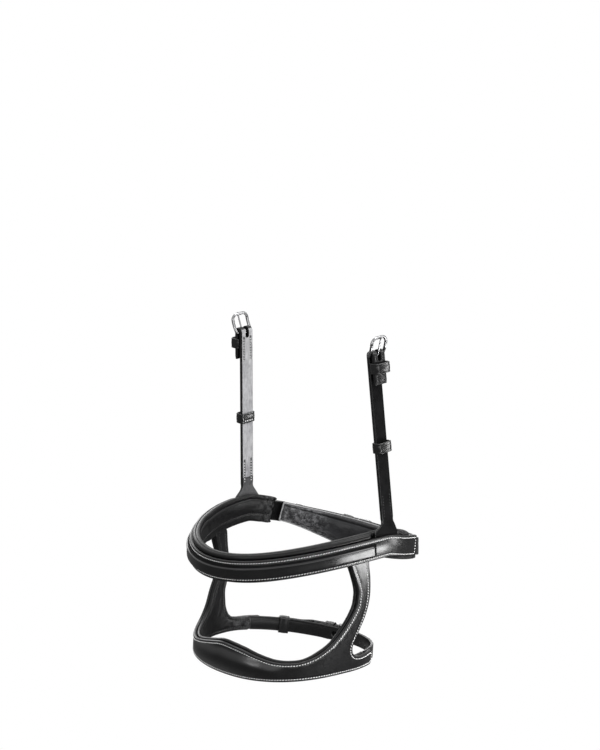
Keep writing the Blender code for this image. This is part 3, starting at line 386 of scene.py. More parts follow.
class Rigid:
    """A straight set of axes for parts that don't bend: along, out and across from one point."""

    def __init__(self, origin, along, out):
        self.origin = np.array(origin, float)
        self.along = unit(np.array(along, float))
        out = np.array(out, float)
        self.out = unit(out - out @ self.along * self.along)
        self.across = np.cross(self.out, self.along)

    def place(self, along, out, across):
        along, out, across = (np.asarray(v, float)[..., None] for v in (along, out, across))
        return self.origin + along * self.along + out * self.out + across * self.across

    def tilted(self, degrees):
        """The same axes turned outwards about the direction across."""
        turn = math.radians(degrees)
        along = self.along * math.cos(turn) + self.out * math.sin(turn)
        out = self.out * math.cos(turn) - self.along * math.sin(turn)
        return Rigid(self.origin, along, out)


NOSE = Loop(nose_course)
MUZZLE = Loop(muzzle_course)


def skin_base(angle, rise):
    """Seam surface of the lower nosepiece, ruled from the lower loop up to the upper band, and flat against
    the inside of the band's leather above that."""
    foot = muzzle_course(angle)
    distance = np.interp(angle, NOSE.angle, NOSE.arc)
    head = NOSE.place(distance, -GAP - LOWER_LEATHER_THICKNESS, ARM_JOIN)
    slope = head - foot
    upright = 1.0 - TAIL_UPRIGHT * ease(np.abs(angle), math.radians(90), math.radians(118))
    slope = slope * np.stack([upright, upright, np.ones_like(upright)], axis=-1)
    reach = slope[..., 2]
    below = np.minimum(rise, reach)
    _, _, _, upward = NOSE.axes_at(distance)
    return foot + slope * (below / reach)[..., None] + upward * (rise - below)[..., None]


def skin_normal(angle, rise):
    """Direction out of the seam surface, from its slopes over a short turn and a short lift."""
    turn, lift = 0.002, 0.0005
    round_loop = skin_base(angle + turn, rise) - skin_base(angle - turn, rise)
    upward = skin_base(angle, rise + lift) - skin_base(angle, rise - lift)
    return unit(np.cross(round_loop, upward))


def on_skin(degrees, rise, out):
    """Point of the lower nosepiece: angle round the loop, rise above the bottom edge, distance out."""
    angle, rise = np.radians(degrees), np.asarray(rise, float)
    return skin_base(angle, rise) + skin_normal(angle, rise) * np.asarray(out)[..., None]


def chin_course(angle):
    return skin_base(angle, TAIL_HEIGHT / 2)


def chin_lean(angle):
    """The chin strap faces as the lower nosepiece's tails do."""
    return skin_normal(angle, TAIL_HEIGHT / 2)


CHIN = Loop(chin_course, chin_lean)

# Lower nosepiece's pattern on the near side: degrees round the loop and rise above the bottom edge
ARM_FOOT_RISE = MUZZLE_SAG + 0.0004
ARM_TOP = MUZZLE_DROP - ARM_FOOT_RISE - BAND_HEIGHT + ARM_TUCK
WINDOW_EDGE = (
    (0, NOSE_DEPTH), (14, 0.0279), (26, 0.0222), (36, 0.0181), (45, CHEEK_DEPTH), (53, 0.0175), (62, 0.0218),
    (70.6, 0.0306), (77.2, 0.0440), (80.6, 0.0573), (80.2, 0.0671), (78.6, 0.0759), (72, 0.0960),
    (68, ARM_TOP),
)
ARM_REAR_EDGE = (
    (80, ARM_TOP), (81.3, 0.0990), (85, 0.0835), (88.6, 0.0660), (89.6, 0.0510), (88, 0.0355), (86.6, 0.0250),
    (88.2, 0.0180), (92, 0.0140), (98, 0.0124), (106, 0.0128), (TAIL_END, TAIL_HEIGHT),
)


def nose_rise(degrees):
    """Height of the lower nosepiece's front above its bottom edge."""
    edge = np.array(WINDOW_EDGE[:6])
    return np.interp(np.abs(degrees), edge[:, 0], edge[:, 1])


def swell(degrees, rise):
    """How far the foam pushes the leather of the front outwards."""
    place = (np.asarray(rise) / nose_rise(degrees) - SWELL_MIDDLE) / SWELL_SPREAD
    height = np.clip(1.0 - place**2, 0.0, 1.0) ** 1.3
    length = np.clip(1.0 - (np.asarray(degrees) / SWELL_HALF_ANGLE) ** 2, 0.0, 1.0) ** 1.2
    return SWELL_HEIGHT * height * length


def metres_pattern(edge):
    """The pattern's degrees as metres round the lower loop."""
    return np.array([(MUZZLE.distance_at(degrees), rise) for degrees, rise in edge])


def bend_on_skin(points, out):
    """Points of the flat pattern on the horse, at a distance out of the seam surface."""
    degrees = np.degrees(MUZZLE.angle_at(points[:, 0]))
    return on_skin(degrees, points[:, 1], out)


def off_side(points):
    """The same pattern on the off side, where the arm stands further forward."""
    ahead = MUZZLE.distance_at(90) - MUZZLE.distance_at(90 - OFF_ARM_AHEAD)
    shift = ahead * ease(points[:, 1], 0.014, 0.045)
    return np.stack([shift - points[:, 0], points[:, 1]], axis=1)


def lower_outline(window, rear, tail_end):
    """Anticlockwise outline of the whole lower nosepiece from its near half."""
    window = metres_pattern(window)
    top = smooth_line(np.concatenate([off_side(window)[:0:-1], window]), SHEET_STEP)
    rear_line = smooth_line(metres_pattern(rear), SHEET_STEP)
    tail = MUZZLE.distance_at(tail_end)
    count = round(2 * tail / (1.25 * SHEET_STEP)) + 1
    bottom = np.stack([np.linspace(-tail, tail, count), np.zeros(count)], axis=1)
    return np.concatenate([bottom, rear_line[::-1], top[::-1], off_side(rear_line)])


def value_noise(points, scale, seed):
    """Smooth noise between about -1 and 1 at points in metres. scale is in ripples a metre."""
    shift = Vector((seed * 7.31, seed * 3.17, seed * 5.53))
    values = [noise.noise(Vector(point) * scale + shift) for point in points.reshape(-1, 3)]
    return np.array(values).reshape(points.shape[:-1])


def new_piece(name, skin, looks, kinds=None, sharp=SHARP):
    """A closed mesh from (points, faces) as an object. kinds tells which of its looks each face has."""
    points, faces = skin
    mesh = bpy.data.meshes.new(name)
    mesh.from_pydata(points, [], faces)
    for material in finish(*looks):
        mesh.materials.append(material)
    if kinds is not None:
        mesh.polygons.foreach_set("material_index", np.asarray(kinds, np.int32))
    form = bmesh.new()
    form.from_mesh(mesh)
    bmesh.ops.recalc_face_normals(form, faces=form.faces)
    form.to_mesh(mesh)
    form.free()
    mesh.shade_smooth()
    mesh.set_sharp_from_angle(angle=math.radians(sharp))
    piece = bpy.data.objects.new(name, mesh)
    bpy.context.scene.collection.objects.link(piece)
    return piece


def build(name, skin, looks, body, node=None, kinds=None, sharp=SHARP, holes=()):
    """Makes a piece, takes its holes out and puts it on its body. Where it stands for a CAD node, it hides
    that node."""
    piece = new_piece(name, skin, looks, kinds, sharp)
    if holes:
        punch(piece, holes)
    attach(piece, body)
    if node:
        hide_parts(node)
    return piece


def build_padded(node, skin, look, fill):
    """Makes the soft piece that stands for a CAD node; the fill is not used."""
    piece = build(f"{node}_soft", skin, [look], ROOT, node, sharp=SOFT_SHARP)


def punch(piece, cutters):
    """Takes the cutters' shapes out of a piece and removes the cutters."""
    for cutter in cutters:
        cut = piece.modifiers.new("hole", "BOOLEAN")
        cut.operation = "DIFFERENCE"
        cut.solver = "EXACT"
        cut.object = cutter
    evaluated = piece.evaluated_get(bpy.context.evaluated_depsgraph_get())
    mesh = bpy.data.meshes.new_from_object(evaluated)
    piece.modifiers.clear()
    piece.data = mesh
    for cutter in cutters:
        bpy.data.objects.remove(cutter, do_unlink=True)


def mirrored(skin, side):
    """The same skin on the near side (1) or the off side (-1)."""
    points, faces = skin
    return flipped(points, side), faces


def flipped(points, side):
    return np.asarray(points) * np.array([side, 1.0, 1.0])


def ring_faces(rings, sides, closed=False):
    """Faces of a skin over rings of points, with its two ends capped unless the rings close on themselves."""
    faces = []
    for ring in range(rings if closed else rings - 1):
        here, there = ring * sides, (ring + 1) % rings * sides
        for side in range(sides):
            beside = (side + 1) % sides
            faces.append((here + side, here + beside, there + beside, there + side))
    if not closed:
        faces.append(tuple(range(sides)))
        faces.append(tuple((rings - 1) * sides + side for side in reversed(range(sides))))
    return faces


def ring_skin(rings, closed=False):
    return np.concatenate(rings), ring_faces(len(rings), len(rings[0]), closed)


def swept(place, stations, section):
    """Rings of points: section(k) gives the (out, across) points of station k."""
    rings = []
    for index, station in enumerate(stations):
        profile = np.array(section(index), float)
        rings.append(place(station, profile[:, 0], profile[:, 1]))
    return np.array(rings)


def both_sides(distances):
    """The same distances on the off side and the near side, from 0 on."""
    distances = np.asarray(distances, float)
    return np.concatenate([-distances[::-1], distances[distances > 0]])


def box_section(inner, outer, bottom, top, radius, count):
    """(out, across) points round a flat section, with the given number of points round each corner."""
    outs = (outer - radius, inner + radius, inner + radius, outer - radius)
    levels = (top - radius, top - radius, bottom + radius, bottom + radius)
    points = []
    for quarter, (out, across) in enumerate(zip(outs, levels)):
        points += arc(out, across, radius, 90 * quarter, 90 * quarter + 90, count)
    return points


def rounded_section(thickness, width, radius, grooves, groove_width):
    """(out, across) points round a flat strap with rounded edges. grooves are places across its outer and
    inner face that the stitches sink into. Returns the points and, for each side, 0 outer, 1 edge, 2 inner or
    3 for a groove of the inner face."""
    deep, wide = thickness / 2, width / 2
    corner = min(radius, deep * 0.92)
    faces = sorted({-wide + corner, wide - corner}.union(
        spot for middle in grooves for spot in (middle - groove_width, middle, middle + groove_width)
    ))
    outer = [(deep - GROOVE_DEPTH * (spot in grooves), spot) for spot in faces]
    inner = [(-deep + GROOVE_DEPTH * (spot in grooves), spot) for spot in reversed(faces)]
    upper = arc(deep - corner, wide - corner, corner, 0, 90, 4)[1:]
    upper += arc(corner - deep, wide - corner, corner, 90, 180, 4)[:-1]
    lower = [(out, -across) for out, across in reversed(upper)]
    pairs = zip(faces[::-1], faces[-2::-1])
    sunk = [3 if here in grooves or there in grooves else 2 for here, there in pairs]
    kinds = [0] * (len(outer) - 1) + [1] * (len(upper) + 1) + sunk + [1] * (len(lower) + 1)
    return np.array([*outer, *upper, *inner, *lower]), kinds


def strap_skin(place, line, thickness, width, grooves=(), groove_width=GROOVE_HALF_WIDTH, radius=0.0009):
    """A strap along a line of (along, out) points. Thickness and width may vary by point. Returns its skin
    and each face's kind, as rounded_section numbers them."""
    line = np.array(line, float)
    count = len(line)
    thickness = np.broadcast_to(np.asarray(thickness, float), (count,))
    width = np.broadcast_to(np.asarray(width, float), (count,))
    ahead = unit(np.gradient(line, axis=0))
    normal = np.stack([-ahead[:, 1], ahead[:, 0]], axis=1)
    full, kinds = rounded_section(thickness.max(), width.max(), radius, grooves, groove_width)
    rings = []
    for middle, side, deep, wide in zip(line, normal, thickness / thickness.max(), width / width.max()):
        spots = middle + side * (full[:, :1] * deep)
        rings.append(place(spots[:, 0], spots[:, 1], full[:, 1] * wide))
    return ring_skin(rings), kinds * (count - 1) + [1, 1]


def tube(path, radii, facing, sides, closed=False):
    """A round wire along a path, whose sections keep to the given facing directions."""
    path = np.array(path, float)
    if closed:
        ahead = unit(np.roll(path, -1, axis=0) - np.roll(path, 1, axis=0))
    else:
        ahead = unit(np.gradient(path, axis=0))
    facing = np.broadcast_to(facing, path.shape)
    beside = np.cross(ahead, facing)
    turn = np.linspace(0, 2 * math.pi, sides, endpoint=False)[:, None]
    radii = np.broadcast_to(np.asarray(radii, float), (len(path),))[:, None, None]
    rings = path[:, None] + radii * (np.cos(turn) * facing[:, None] + np.sin(turn) * beside[:, None])
    return ring_skin(rings, closed)


def keeper_outline(low, high, half_width, corner, wide_corner, crown):
    """(out, across) points round a keeper, from low to high and from -half_width to half_width. The corners
    and the face on its outer side are rounder than those against the animal."""
    corners = (
        (high - wide_corner, half_width - wide_corner, wide_corner, 0),
        (low + corner, half_width - corner, corner, 90),
        (low + corner, corner - half_width, corner, 180),
        (high - wide_corner, wide_corner - half_width, wide_corner, 270),
    )
    spots = []
    for out, across, radius, start in corners:
        spots += arc(out, across, radius, start, start + 90, 7)
    flat = half_width - wide_corner
    spots += [(high, across) for across in np.linspace(-flat, flat, 9)[1:-1]]
    spots = np.array(spots)
    raised = crown * np.clip(1 - (spots[:, 1] / half_width) ** 2, 0, 1)
    spots[:, 0] += np.where(spots[:, 0] > high - wide_corner, raised, 0.0)
    return spots


def keeper_skin(axes, middle, low, high, half_width):
    """A leather loop round a strap, crowned and creased along both rims. low, high and half_width are the
    inside of the loop."""
    wall, half = KEEPER_WALL, KEEPER_LENGTH / 2
    rim = 0.45 * wall
    levels = [(0.0, -half + rim), (0.3 * rim, -half + 0.3 * rim), (rim, -half)]
    for share in np.linspace(0, 90, 4):
        lift = math.sin(math.radians(share))
        levels.append((wall - rim + rim * lift, -half + rim - rim * math.cos(math.radians(share))))
    crease = half - KEEPER_CREASE_INSET
    levels += [(wall, -crease - 0.0006), (wall - KEEPER_CREASE_DEPTH, -crease)]
    levels += [(wall + 0.00002, -crease + 0.0007), (wall + 0.00010, -0.0007), (wall + 0.00010, 0.0)]
    levels += [(depth, -along) for depth, along in reversed(levels[:-1])]
    rings = []
    for depth, along in levels:
        crown = KEEPER_CROWN * ease(depth, 0.3 * wall, wall)
        corner, wide_corner = KEEPER_CORNER + depth, 2 * KEEPER_CORNER + depth
        spots = keeper_outline(low - depth, high + depth, half_width + depth, corner, wide_corner, crown)
        rings.append(axes.place(middle + along, spots[:, 0], spots[:, 1]))
    return ring_skin(rings, closed=True)


def inside(points, outline):
    """Which points lie inside a closed outline."""
    result = np.zeros(len(points), bool)
    for start, end in zip(outline, np.roll(outline, -1, axis=0)):
        crosses = (start[1] > points[:, 1]) != (end[1] > points[:, 1])
        rise = np.where(end[1] == start[1], 1e-12, end[1] - start[1])
        at = start[0] + (points[:, 1] - start[1]) * (end[0] - start[0]) / rise
        result ^= crosses & (points[:, 0] < at)
    return result


def inset(outline, amount):
    """The outline moved inwards in small steps, its points kept evenly spread. It runs anticlockwise."""
    count = max(1, math.ceil(amount / 0.00025))
    ring = np.array(outline, float)
    for _ in range(count):
        ahead = unit(np.roll(ring, -1, axis=0) - ring)
        behind = np.roll(ahead, 1, axis=0)
        mean = unit(ahead + behind)
        inward = np.stack([-mean[:, 1], mean[:, 0]], axis=1)
        opening = np.clip(np.sum(mean * ahead, axis=1), 0.5, 1.0)
        ring = ring + inward * (amount / count / opening)[:, None]
        drift = (np.roll(ring, 1, axis=0) + np.roll(ring, -1, axis=0)) / 2 - ring
        ring = ring + 0.4 * np.sum(drift * mean, axis=1, keepdims=True) * mean
    return ring


def sheet_skin(outline, bend, low, high, radius, groove_inset=None, groove=SHEET_GROOVE_DEPTH):
    """A closed sheet over a flat pattern in metres, with rounded edges and a stitch groove round its faces.
    Returns its skin and each face's kind: 0 outer, 1 edge or 2 inner."""
    outline = np.array(outline, float)
    count = len(outline)
    turns = np.radians((0, 30, 60, 90))
    rows = [(radius * (1 - math.cos(turn)), radius * (1 - math.sin(turn))) for turn in turns]
    rims = len(rows)
    if groove_inset:
        side = SHEET_GROOVE_HALF_WIDTH
        rows += [(groove_inset - side, 0.0), (groove_inset, groove), (groove_inset + side, 0.0)]
    rings = [inset(outline, amount) for amount, _ in rows]
    last = rings[-1]
    low_corner, high_corner = last.min(axis=0), last.max(axis=0)
    columns = np.arange(low_corner[0], high_corner[0], SHEET_STEP)
    ranks = np.arange(low_corner[1], high_corner[1], SHEET_STEP * 0.866)
    net = np.array([(x + (k % 2) * SHEET_STEP / 2, y) for k, y in enumerate(ranks) for x in columns])
    net = net[inside(net, inset(last, 0.55 * SHEET_STEP))]
    flat = np.concatenate([last, net])
    edges = [(i, (i + 1) % count) for i in range(count)]
    found, _, triangles, _, _, _ = delaunay_2d_cdt([tuple(p) for p in flat], edges, [], 1, 1e-8)
    if len(found) != len(flat):
        raise ValueError("the pattern's outline crosses itself")
    points, faces, kinds = [], [], []
    total = 0
    starts = {}
    for face, surface, sign in (("outer", high, -1.0), ("inner", low, 1.0)):
        for index, (ring, (_, depth)) in enumerate(zip(rings, rows)):
            starts[face, index] = total
            points.append(bend(ring, surface(ring) + sign * depth))
            total += count
        points.append(bend(net, surface(net)))
        starts[face, "net"] = total
        total += len(net)

    def wall(first, second, kind, flip):
        for i, j in edges:
            face = (first + i, second + i, second + j, first + j)
            faces.append(face[::-1] if flip else face)
            kinds.append(kind)

    for index in range(len(rows) - 1):
        at_rim = index < rims - 1
        wall(starts["outer", index], starts["outer", index + 1], 1 if at_rim else 0, True)
        wall(starts["inner", index], starts["inner", index + 1], 1 if at_rim else 2, False)
    wall(starts["outer", 0], starts["inner", 0], 1, False)
    for face, kind in (("outer", 0), ("inner", 2)):
        border, middle = starts[face, len(rows) - 1], starts[face, "net"] - count
        for triangle in triangles:
            picked = [border + i if i < count else middle + i for i in triangle]
            faces.append(tuple(picked if face == "outer" else picked[::-1]))
            kinds.append(kind)
    return (np.concatenate(points), faces), kinds


def resampled(path, normals, pitch):
    """Evenly spaced points on a path, with the path's direction and its face normal there."""
    lengths = np.concatenate([[0.0], np.cumsum(np.linalg.norm(np.diff(path, axis=0), axis=1))])
    count = max(1, int(lengths[-1] / pitch))
    at = (np.arange(count) + 0.5) * lengths[-1] / count

    def spots(places, values):
        return np.stack([np.interp(places, lengths, values[:, k]) for k in range(3)], axis=1)

    along = unit(spots(at + pitch / 3, path) - spots(at - pitch / 3, path))
    return spots(at, path), along, square_to(unit(spots(at, normals)), along)


class Thread:
    """Stitches gathered from several rows into one piece: each is a short slanted length of waxed thread
    whose ends sink into the leather."""

    # Place along a stitch in half lengths, height over the leather in thread radii, and thickness
    RINGS = (
        (-1.0, -0.75, 0.45), (-0.72, 0.1, 0.85), (-0.3, 0.42, 1.0), (0.3, 0.42, 1.0), (0.72, 0.1, 0.85),
        (1.0, -0.75, 0.45),
    )
    SIDES = 6
    SLANT = math.radians(16.0)

    def __init__(self, settings, size=1.0):
        self.pitch = settings.stitch_pitch
        self.half = settings.stitch_length / 2
        self.radius = size * settings.thread_width / 2
        self.stitches = []

    def row(self, path, normals, lift=0.0):
        spots, along, facing = resampled(path, normals, self.pitch)
        ahead = along * math.cos(self.SLANT) + np.cross(facing, along) * math.sin(self.SLANT)
        beside = np.cross(facing, ahead)
        points = []
        for reach, height, width in self.RINGS:
            for turn in np.linspace(0, 2 * math.pi, self.SIDES, endpoint=False):
                rise = lift + height * self.radius + math.sin(turn) * self.radius * width * 0.8
                sway = math.cos(turn) * self.radius * width
                points.append(spots + ahead * (reach * self.half) + facing * rise + beside * sway)
        self.stitches += list(np.stack(points, axis=1))

    def sew(self, name, look, body):
        """Makes the piece of all rows."""
        pattern = ring_faces(len(self.RINGS), self.SIDES)
        each = len(self.RINGS) * self.SIDES
        faces = [tuple(k * each + i for i in face) for k in range(len(self.stitches)) for face in pattern]
        build(name, (np.concatenate(self.stitches), faces), [look], body, sharp=ROUND_SHARP)


def cutter(axes, outline, reach):
    """A block over the outline of (along, across) points, as far out of the strap as into it."""
    rings = [[axes.place(along, out, across) for along, across in outline] for out in (-reach, reach)]
    return new_piece("cutter", ring_skin(rings), ["bridle_leather"])


def slot_cutter(axes, low, high, reach):
    """A round-ended slot through a strap, long the way the strap runs."""
    radius = TURN_SLOT_WIDTH / 2
    outline = arc(high - radius, 0.0, radius, -90, 90, 13) + arc(low + radius, 0.0, radius, 90, 270, 13)
    return cutter(axes, outline, reach)


def turn_slot_cutter(axes, reach):
    """The slot that a buckle's tongue needs in leather turned round the heel bar."""
    return slot_cutter(axes, -TURN_SLOT_BACK, TURN_SLOT_AHEAD, reach)


class Closure:
    """Where the straps, the keepers and the buckle of one rear closure lie. strap_knots and billet_knots hold
    (distance, out) from each strap's sewn end on, and under is the buckle strap's distance out at the bar."""

    def __init__(self, loop, width, bar_angle, keeper_angle, end_angle, strap_knots, billet_knots, under):
        thickness = CLOSURE_THICKNESS
        radius = BAR_RADIUS + BAR_PLAY + thickness / 2
        bar = loop.distance_at(bar_angle)
        bar_out = under + radius
        front_out = bar_out + CLOSURE_FRAME_RISE
        over = bar_out + radius + thickness + 1.5 * GAP
        through = front_out - WIRE_RADIUS - 2 * GAP - thickness / 2
        on_strap = under + thickness + 1.5 * GAP
        self.loop = loop
        self.width = width
        self.end = loop.distance_at(end_angle)
        eased = eased_line(strap_knots, STRAP_STEP)[:-1]
        self.turn_start = len(eased)
        self.strap = np.array(eased + turn_line(bar, bar_out, thickness, 1))
        knots = [
            *billet_knots,
            (bar - FRAME_LENGTH - 0.003, through),
            (bar - FRAME_LENGTH + 0.0015, through),
            (bar - 0.0005, over),
            (bar + TURN_FOLD + 0.001, over),
            (bar + TURN_FOLD + 0.013, on_strap),
            (self.end, on_strap),
        ]
        self.billet = np.array(eased_line(knots, STRAP_STEP))
        heel = loop.place(bar, bar_out, 0.0)
        front_at = bar - FRAME_LENGTH
        for _ in range(4):
            reach = np.linalg.norm(loop.place(front_at, front_out, 0.0) - heel)
            front_at = bar - (bar - front_at) * FRAME_LENGTH / reach
        ahead = loop.place(front_at, front_out, 0.0) - heel
        _, _, outward, upward = loop.axes_at(bar)
        self.turn_axes = self.axes(bar, bar_out, -1)
        self.buckle_axes = Rigid(heel, ahead, np.cross(ahead, unit(np.cross(outward, ahead)) - upward))
        used = bar - USED_HOLE_AHEAD
        self.crossing = Rigid(loop.place(used, (through + over) / 2, 0.0), ahead, outward)
        self.spare_holes = []
        for at in (used + step * HOLE_SPACING for step in (-3, -2, 2, 3)):
            if at < self.end - 0.012:
                out = np.interp(at, self.billet[:, 0], self.billet[:, 1])
                self.spare_holes.append(self.axes(at, out, 1))
        self.keepers = (
            (
                "fixed", self.axes(bar + FIXED_KEEPER_START + KEEPER_LENGTH / 2, bar_out, -1),
                KEEPER_WALL / 2, over - bar_out + thickness / 2 + 2 * GAP,
            ),
            (
                "sliding", self.axes(loop.distance_at(keeper_angle), under, -1),
                -thickness / 2 - SLIDE_PLAY, on_strap - under + thickness / 2 + GAP,
            ),
        )

    def axes(self, at, out, ahead):
        """Axes of a flat part on the loop, along the loop (1) or against it (-1)."""
        _, along, outward, _ = self.loop.axes_at(at)
        return Rigid(self.loop.place(at, out, 0.0), ahead * along, outward)


def turn_line(bar_along, bar_out, thickness, direction):
    """Middle line of leather that turns round the heel bar and folds back on its outer side."""
    radius = BAR_RADIUS + BAR_PLAY + thickness / 2
    line = [arc_point(bar_along, bar_out, radius, -90 - direction * turn) for turn in np.linspace(0, 180, 15)]
    folded = stations_between(bar_along, bar_along + direction * (TURN_FOLD - 0.003), STRAP_STEP)[1:]
    line += [(along, bar_out + radius) for along in folded]
    line.append((bar_along + direction * TURN_FOLD, bar_out + radius))
    return line


def chin_closure():
    sewn = -GAP / 2 - CLOSURE_THICKNESS / 2
    start = CHIN.distance_at(TAIL_LINING_END + 1.4)
    strap_knots = [(CHIN.length - start, sewn), (CHIN.distance_at(CHIN_BAR_ANGLE), sewn)]
    angles = (CHIN_BAR_ANGLE, CHIN_KEEPER_ANGLE, CHIN_BILLET_END)
    return Closure(CHIN, CHIN_WIDTH, *angles, strap_knots, [(start, sewn)], sewn)


def jaw_closure():
    thickness = CLOSURE_THICKNESS
    behind_tail = -GAP / 2 - thickness / 2
    over_tail = 1.5 * GAP + BAND_LEATHER_THICKNESS + thickness / 2
    on_backing = -BACKING_INSET + GAP + thickness / 2
    start = NOSE.distance_at(JAW_OVERLAP_START)
    tail = NOSE.distance_at(BAND_LEATHER_END)
    bar = NOSE.distance_at(JAW_BAR_ANGLE)
    strap_start, strap_tail = NOSE.length - start, NOSE.length - tail
    strap_knots = [(strap_start, over_tail), (strap_tail - 0.001, over_tail)]
    strap_knots += [(strap_tail - 0.009, JAW_STRAP_STAND), (bar, JAW_STRAP_STAND)]
    billet_knots = [(start, behind_tail), (tail + 0.001, behind_tail)]
    billet_knots += [(tail + 0.011, on_backing), (bar - FRAME_LENGTH - 0.018, on_backing)]
    angles = (JAW_BAR_ANGLE, JAW_KEEPER_ANGLE, JAW_BILLET_END)
    return Closure(NOSE, JAW_WIDTH, *angles, strap_knots, billet_knots, JAW_STRAP_STAND)


def hanger_axes():
    """Axes of the near hanger strap at its fold line, and the length up to the buckle's heel bar."""
    seat = NOSE.distance_at(90)
    foot = NOSE.place(seat, -GAP / 2 - EAR_THICKNESS / 2, FOLD_ACROSS)
    _, _, out, _ = NOSE.axes_at(seat)
    up = np.array([-HANGER_LEAN_IN, -HANGER_LEAN_FORWARD, -foot[2]])
    return Rigid(foot, up, out), np.linalg.norm(up)


def frame_skin(axes, strap_width):
    """Buckle frame: a straight heel bar, two arched sides and a round-cornered front bar."""
    half = strap_width / 2 + FRAME_SIDE_PLAY + WIRE_RADIUS
    heel, front, length = FRAME_HEEL_CORNER, FRAME_FRONT_CORNER, FRAME_LENGTH
    path = [(0.0, across) for across in (0.0, 0.5 * half, half - heel - 0.0012, half - heel - 0.0004)]
    path += arc(heel, half - heel, heel, 180, 90, 7)
    path += [(share * length, half) for share in (0.3, 0.45, 0.58)]
    path += arc(length - front, half - front, front, 90, 0, 12)
    path.append((length, 0.0))
    path = np.array(path + [(along, -across) for along, across in path[-2:0:-1]])
    arch = FRAME_ARCH * np.sin(math.pi * path[:, 0] / length)
    on_bar = (path[:, 0] < 1e-6) & (np.abs(path[:, 1]) < half - heel - 0.0008)
    radii = np.where(on_bar, BAR_RADIUS, WIRE_RADIUS)
    return tube(axes.place(path[:, 0], arch, path[:, 1]), radii, axes.out, sides=20, closed=True)


def tongue_skin(axes):
    """Buckle tongue: a curl round the heel bar and a stem that thins to its tip, resting on the front bar."""
    curl = BAR_RADIUS + BAR_PLAY + TONGUE_RADIUS
    rest = WIRE_RADIUS + TONGUE_RADIUS + GAP
    turns = np.radians(np.linspace(285, 0, 26))
    path = [(-curl * math.sin(turn), curl * math.cos(turn)) for turn in turns]
    path += [(share * FRAME_LENGTH, curl + (rest - curl) * share) for share in np.linspace(0.1, 1.0, 10)]
    path += [(FRAME_LENGTH + 0.0009, rest - 0.0001), (FRAME_LENGTH + 0.0018, rest - 0.0002)]
    path = np.array(path)
    radii = np.full(len(path), TONGUE_RADIUS)
    radii[-2:] = TONGUE_RADIUS * np.array([0.93, 0.7])
    return tube(axes.place(path[:, 0], path[:, 1], 0.0), radii, axes.across, sides=16)


WHITE = (1.0, 1.0, 1.0, 1.0)


class Nodes:
    """Adds nodes to a shader tree."""

    def __init__(self, tree):
        self.tree = tree
        tree.nodes.clear()

    def node(self, kind, inputs=None, **modes):
        """A new node in the given modes, whose inputs take a constant or a link."""
        node = self.tree.nodes.new("ShaderNode" + kind)
        for name, mode in modes.items():
            setattr(node, name, mode)
        for socket, value in (inputs or {}).items():
            self.fill(node.inputs[socket], value)
        return node

    def fill(self, socket, value):
        if isinstance(value, bpy.types.NodeSocket):
            self.tree.links.new(value, socket)
        else:
            socket.default_value = value


class Maker(Nodes):
    """Nodes of one procedural material, on the piece's own coordinates in metres."""

    def __init__(self, name):
        self.material = bpy.data.materials.new(name)
        self.material.use_nodes = True
        super().__init__(self.material.node_tree)
        self.shader = self.node("BsdfPrincipled")
        self.node("OutputMaterial", {"Surface": self.shader.outputs["BSDF"]})
        self.place = self.node("TexCoord").outputs["Object"]
        self.normal = None

    def put(self, **values):
        """Sets or links inputs of the shader. Their names are given with _ for each space."""
        for name, value in values.items():
            self.fill(self.shader.inputs[name.replace("_", " ")], value)

    def noise(self, scale, detail=4.0, roughness=0.55, distortion=0.0, stretch=None):
        place = self.place
        if stretch:
            place = self.node("Mapping", {"Vector": place, "Scale": stretch}).outputs["Vector"]
        inputs = {"Vector": place, "Scale": scale, "Detail": detail, "Roughness": roughness}
        return self.node("TexNoise", {**inputs, "Distortion": distortion}).outputs["Fac"]

    def cells(self, scale):
        return self.node("TexVoronoi", {"Vector": self.place, "Scale": scale}).outputs["Distance"]

    def pores(self, scale, smoothness):
        inputs = {"Vector": self.place, "Scale": scale, "Smoothness": smoothness}
        return self.node("TexVoronoi", inputs, feature="SMOOTH_F1").outputs["Distance"]

    def coordinate(self, axis):
        return self.node("SeparateXYZ", {"Vector": self.place}).outputs[axis]

    def spread(self, value, low, high, to_low=0.0, to_high=1.0):
        """Maps the value's range on to another one."""
        inputs = {"Value": value, "From Min": low, "From Max": high, "To Min": to_low, "To Max": to_high}
        return self.node("MapRange", inputs).outputs["Result"]

    def between(self, share, first, second, mode="MIX"):
        """A colour between two others."""
        inputs = {"Factor": share}
        for name, colour in (("A", first), ("B", second)):
            inputs[name] = (*colour, 1.0) if isinstance(colour, tuple) else colour
        return self.node("Mix", inputs, data_type="RGBA", blend_type=mode).outputs["Result"]

    def multiplied(self, first, second):
        return self.between(1.0, first, second, "MULTIPLY")

    def product(self, first, second):
        return self.node("Math", {0: first, 1: second}, operation="MULTIPLY").outputs["Value"]

    def clouded(self, cloud, tone, dark, pale):
        """The tone, darker and paler in soft patches."""
        return self.between(self.spread(cloud, 0.35, 0.65), shade(tone, dark), shade(tone, pale))

    def emboss(self, height, depth, strength=1.0):
        """Adds a bump of the given depth in metres over those before it."""
        inputs = {"Strength": strength, "Distance": depth, "Height": height}
        if self.normal is not None:
            inputs["Normal"] = self.normal
        self.normal = self.node("Bump", inputs).outputs["Normal"]
        self.put(Normal=self.normal)


def shade(tone, factor):
    return tuple(min(1.0, channel * factor) for channel in tone[:3])


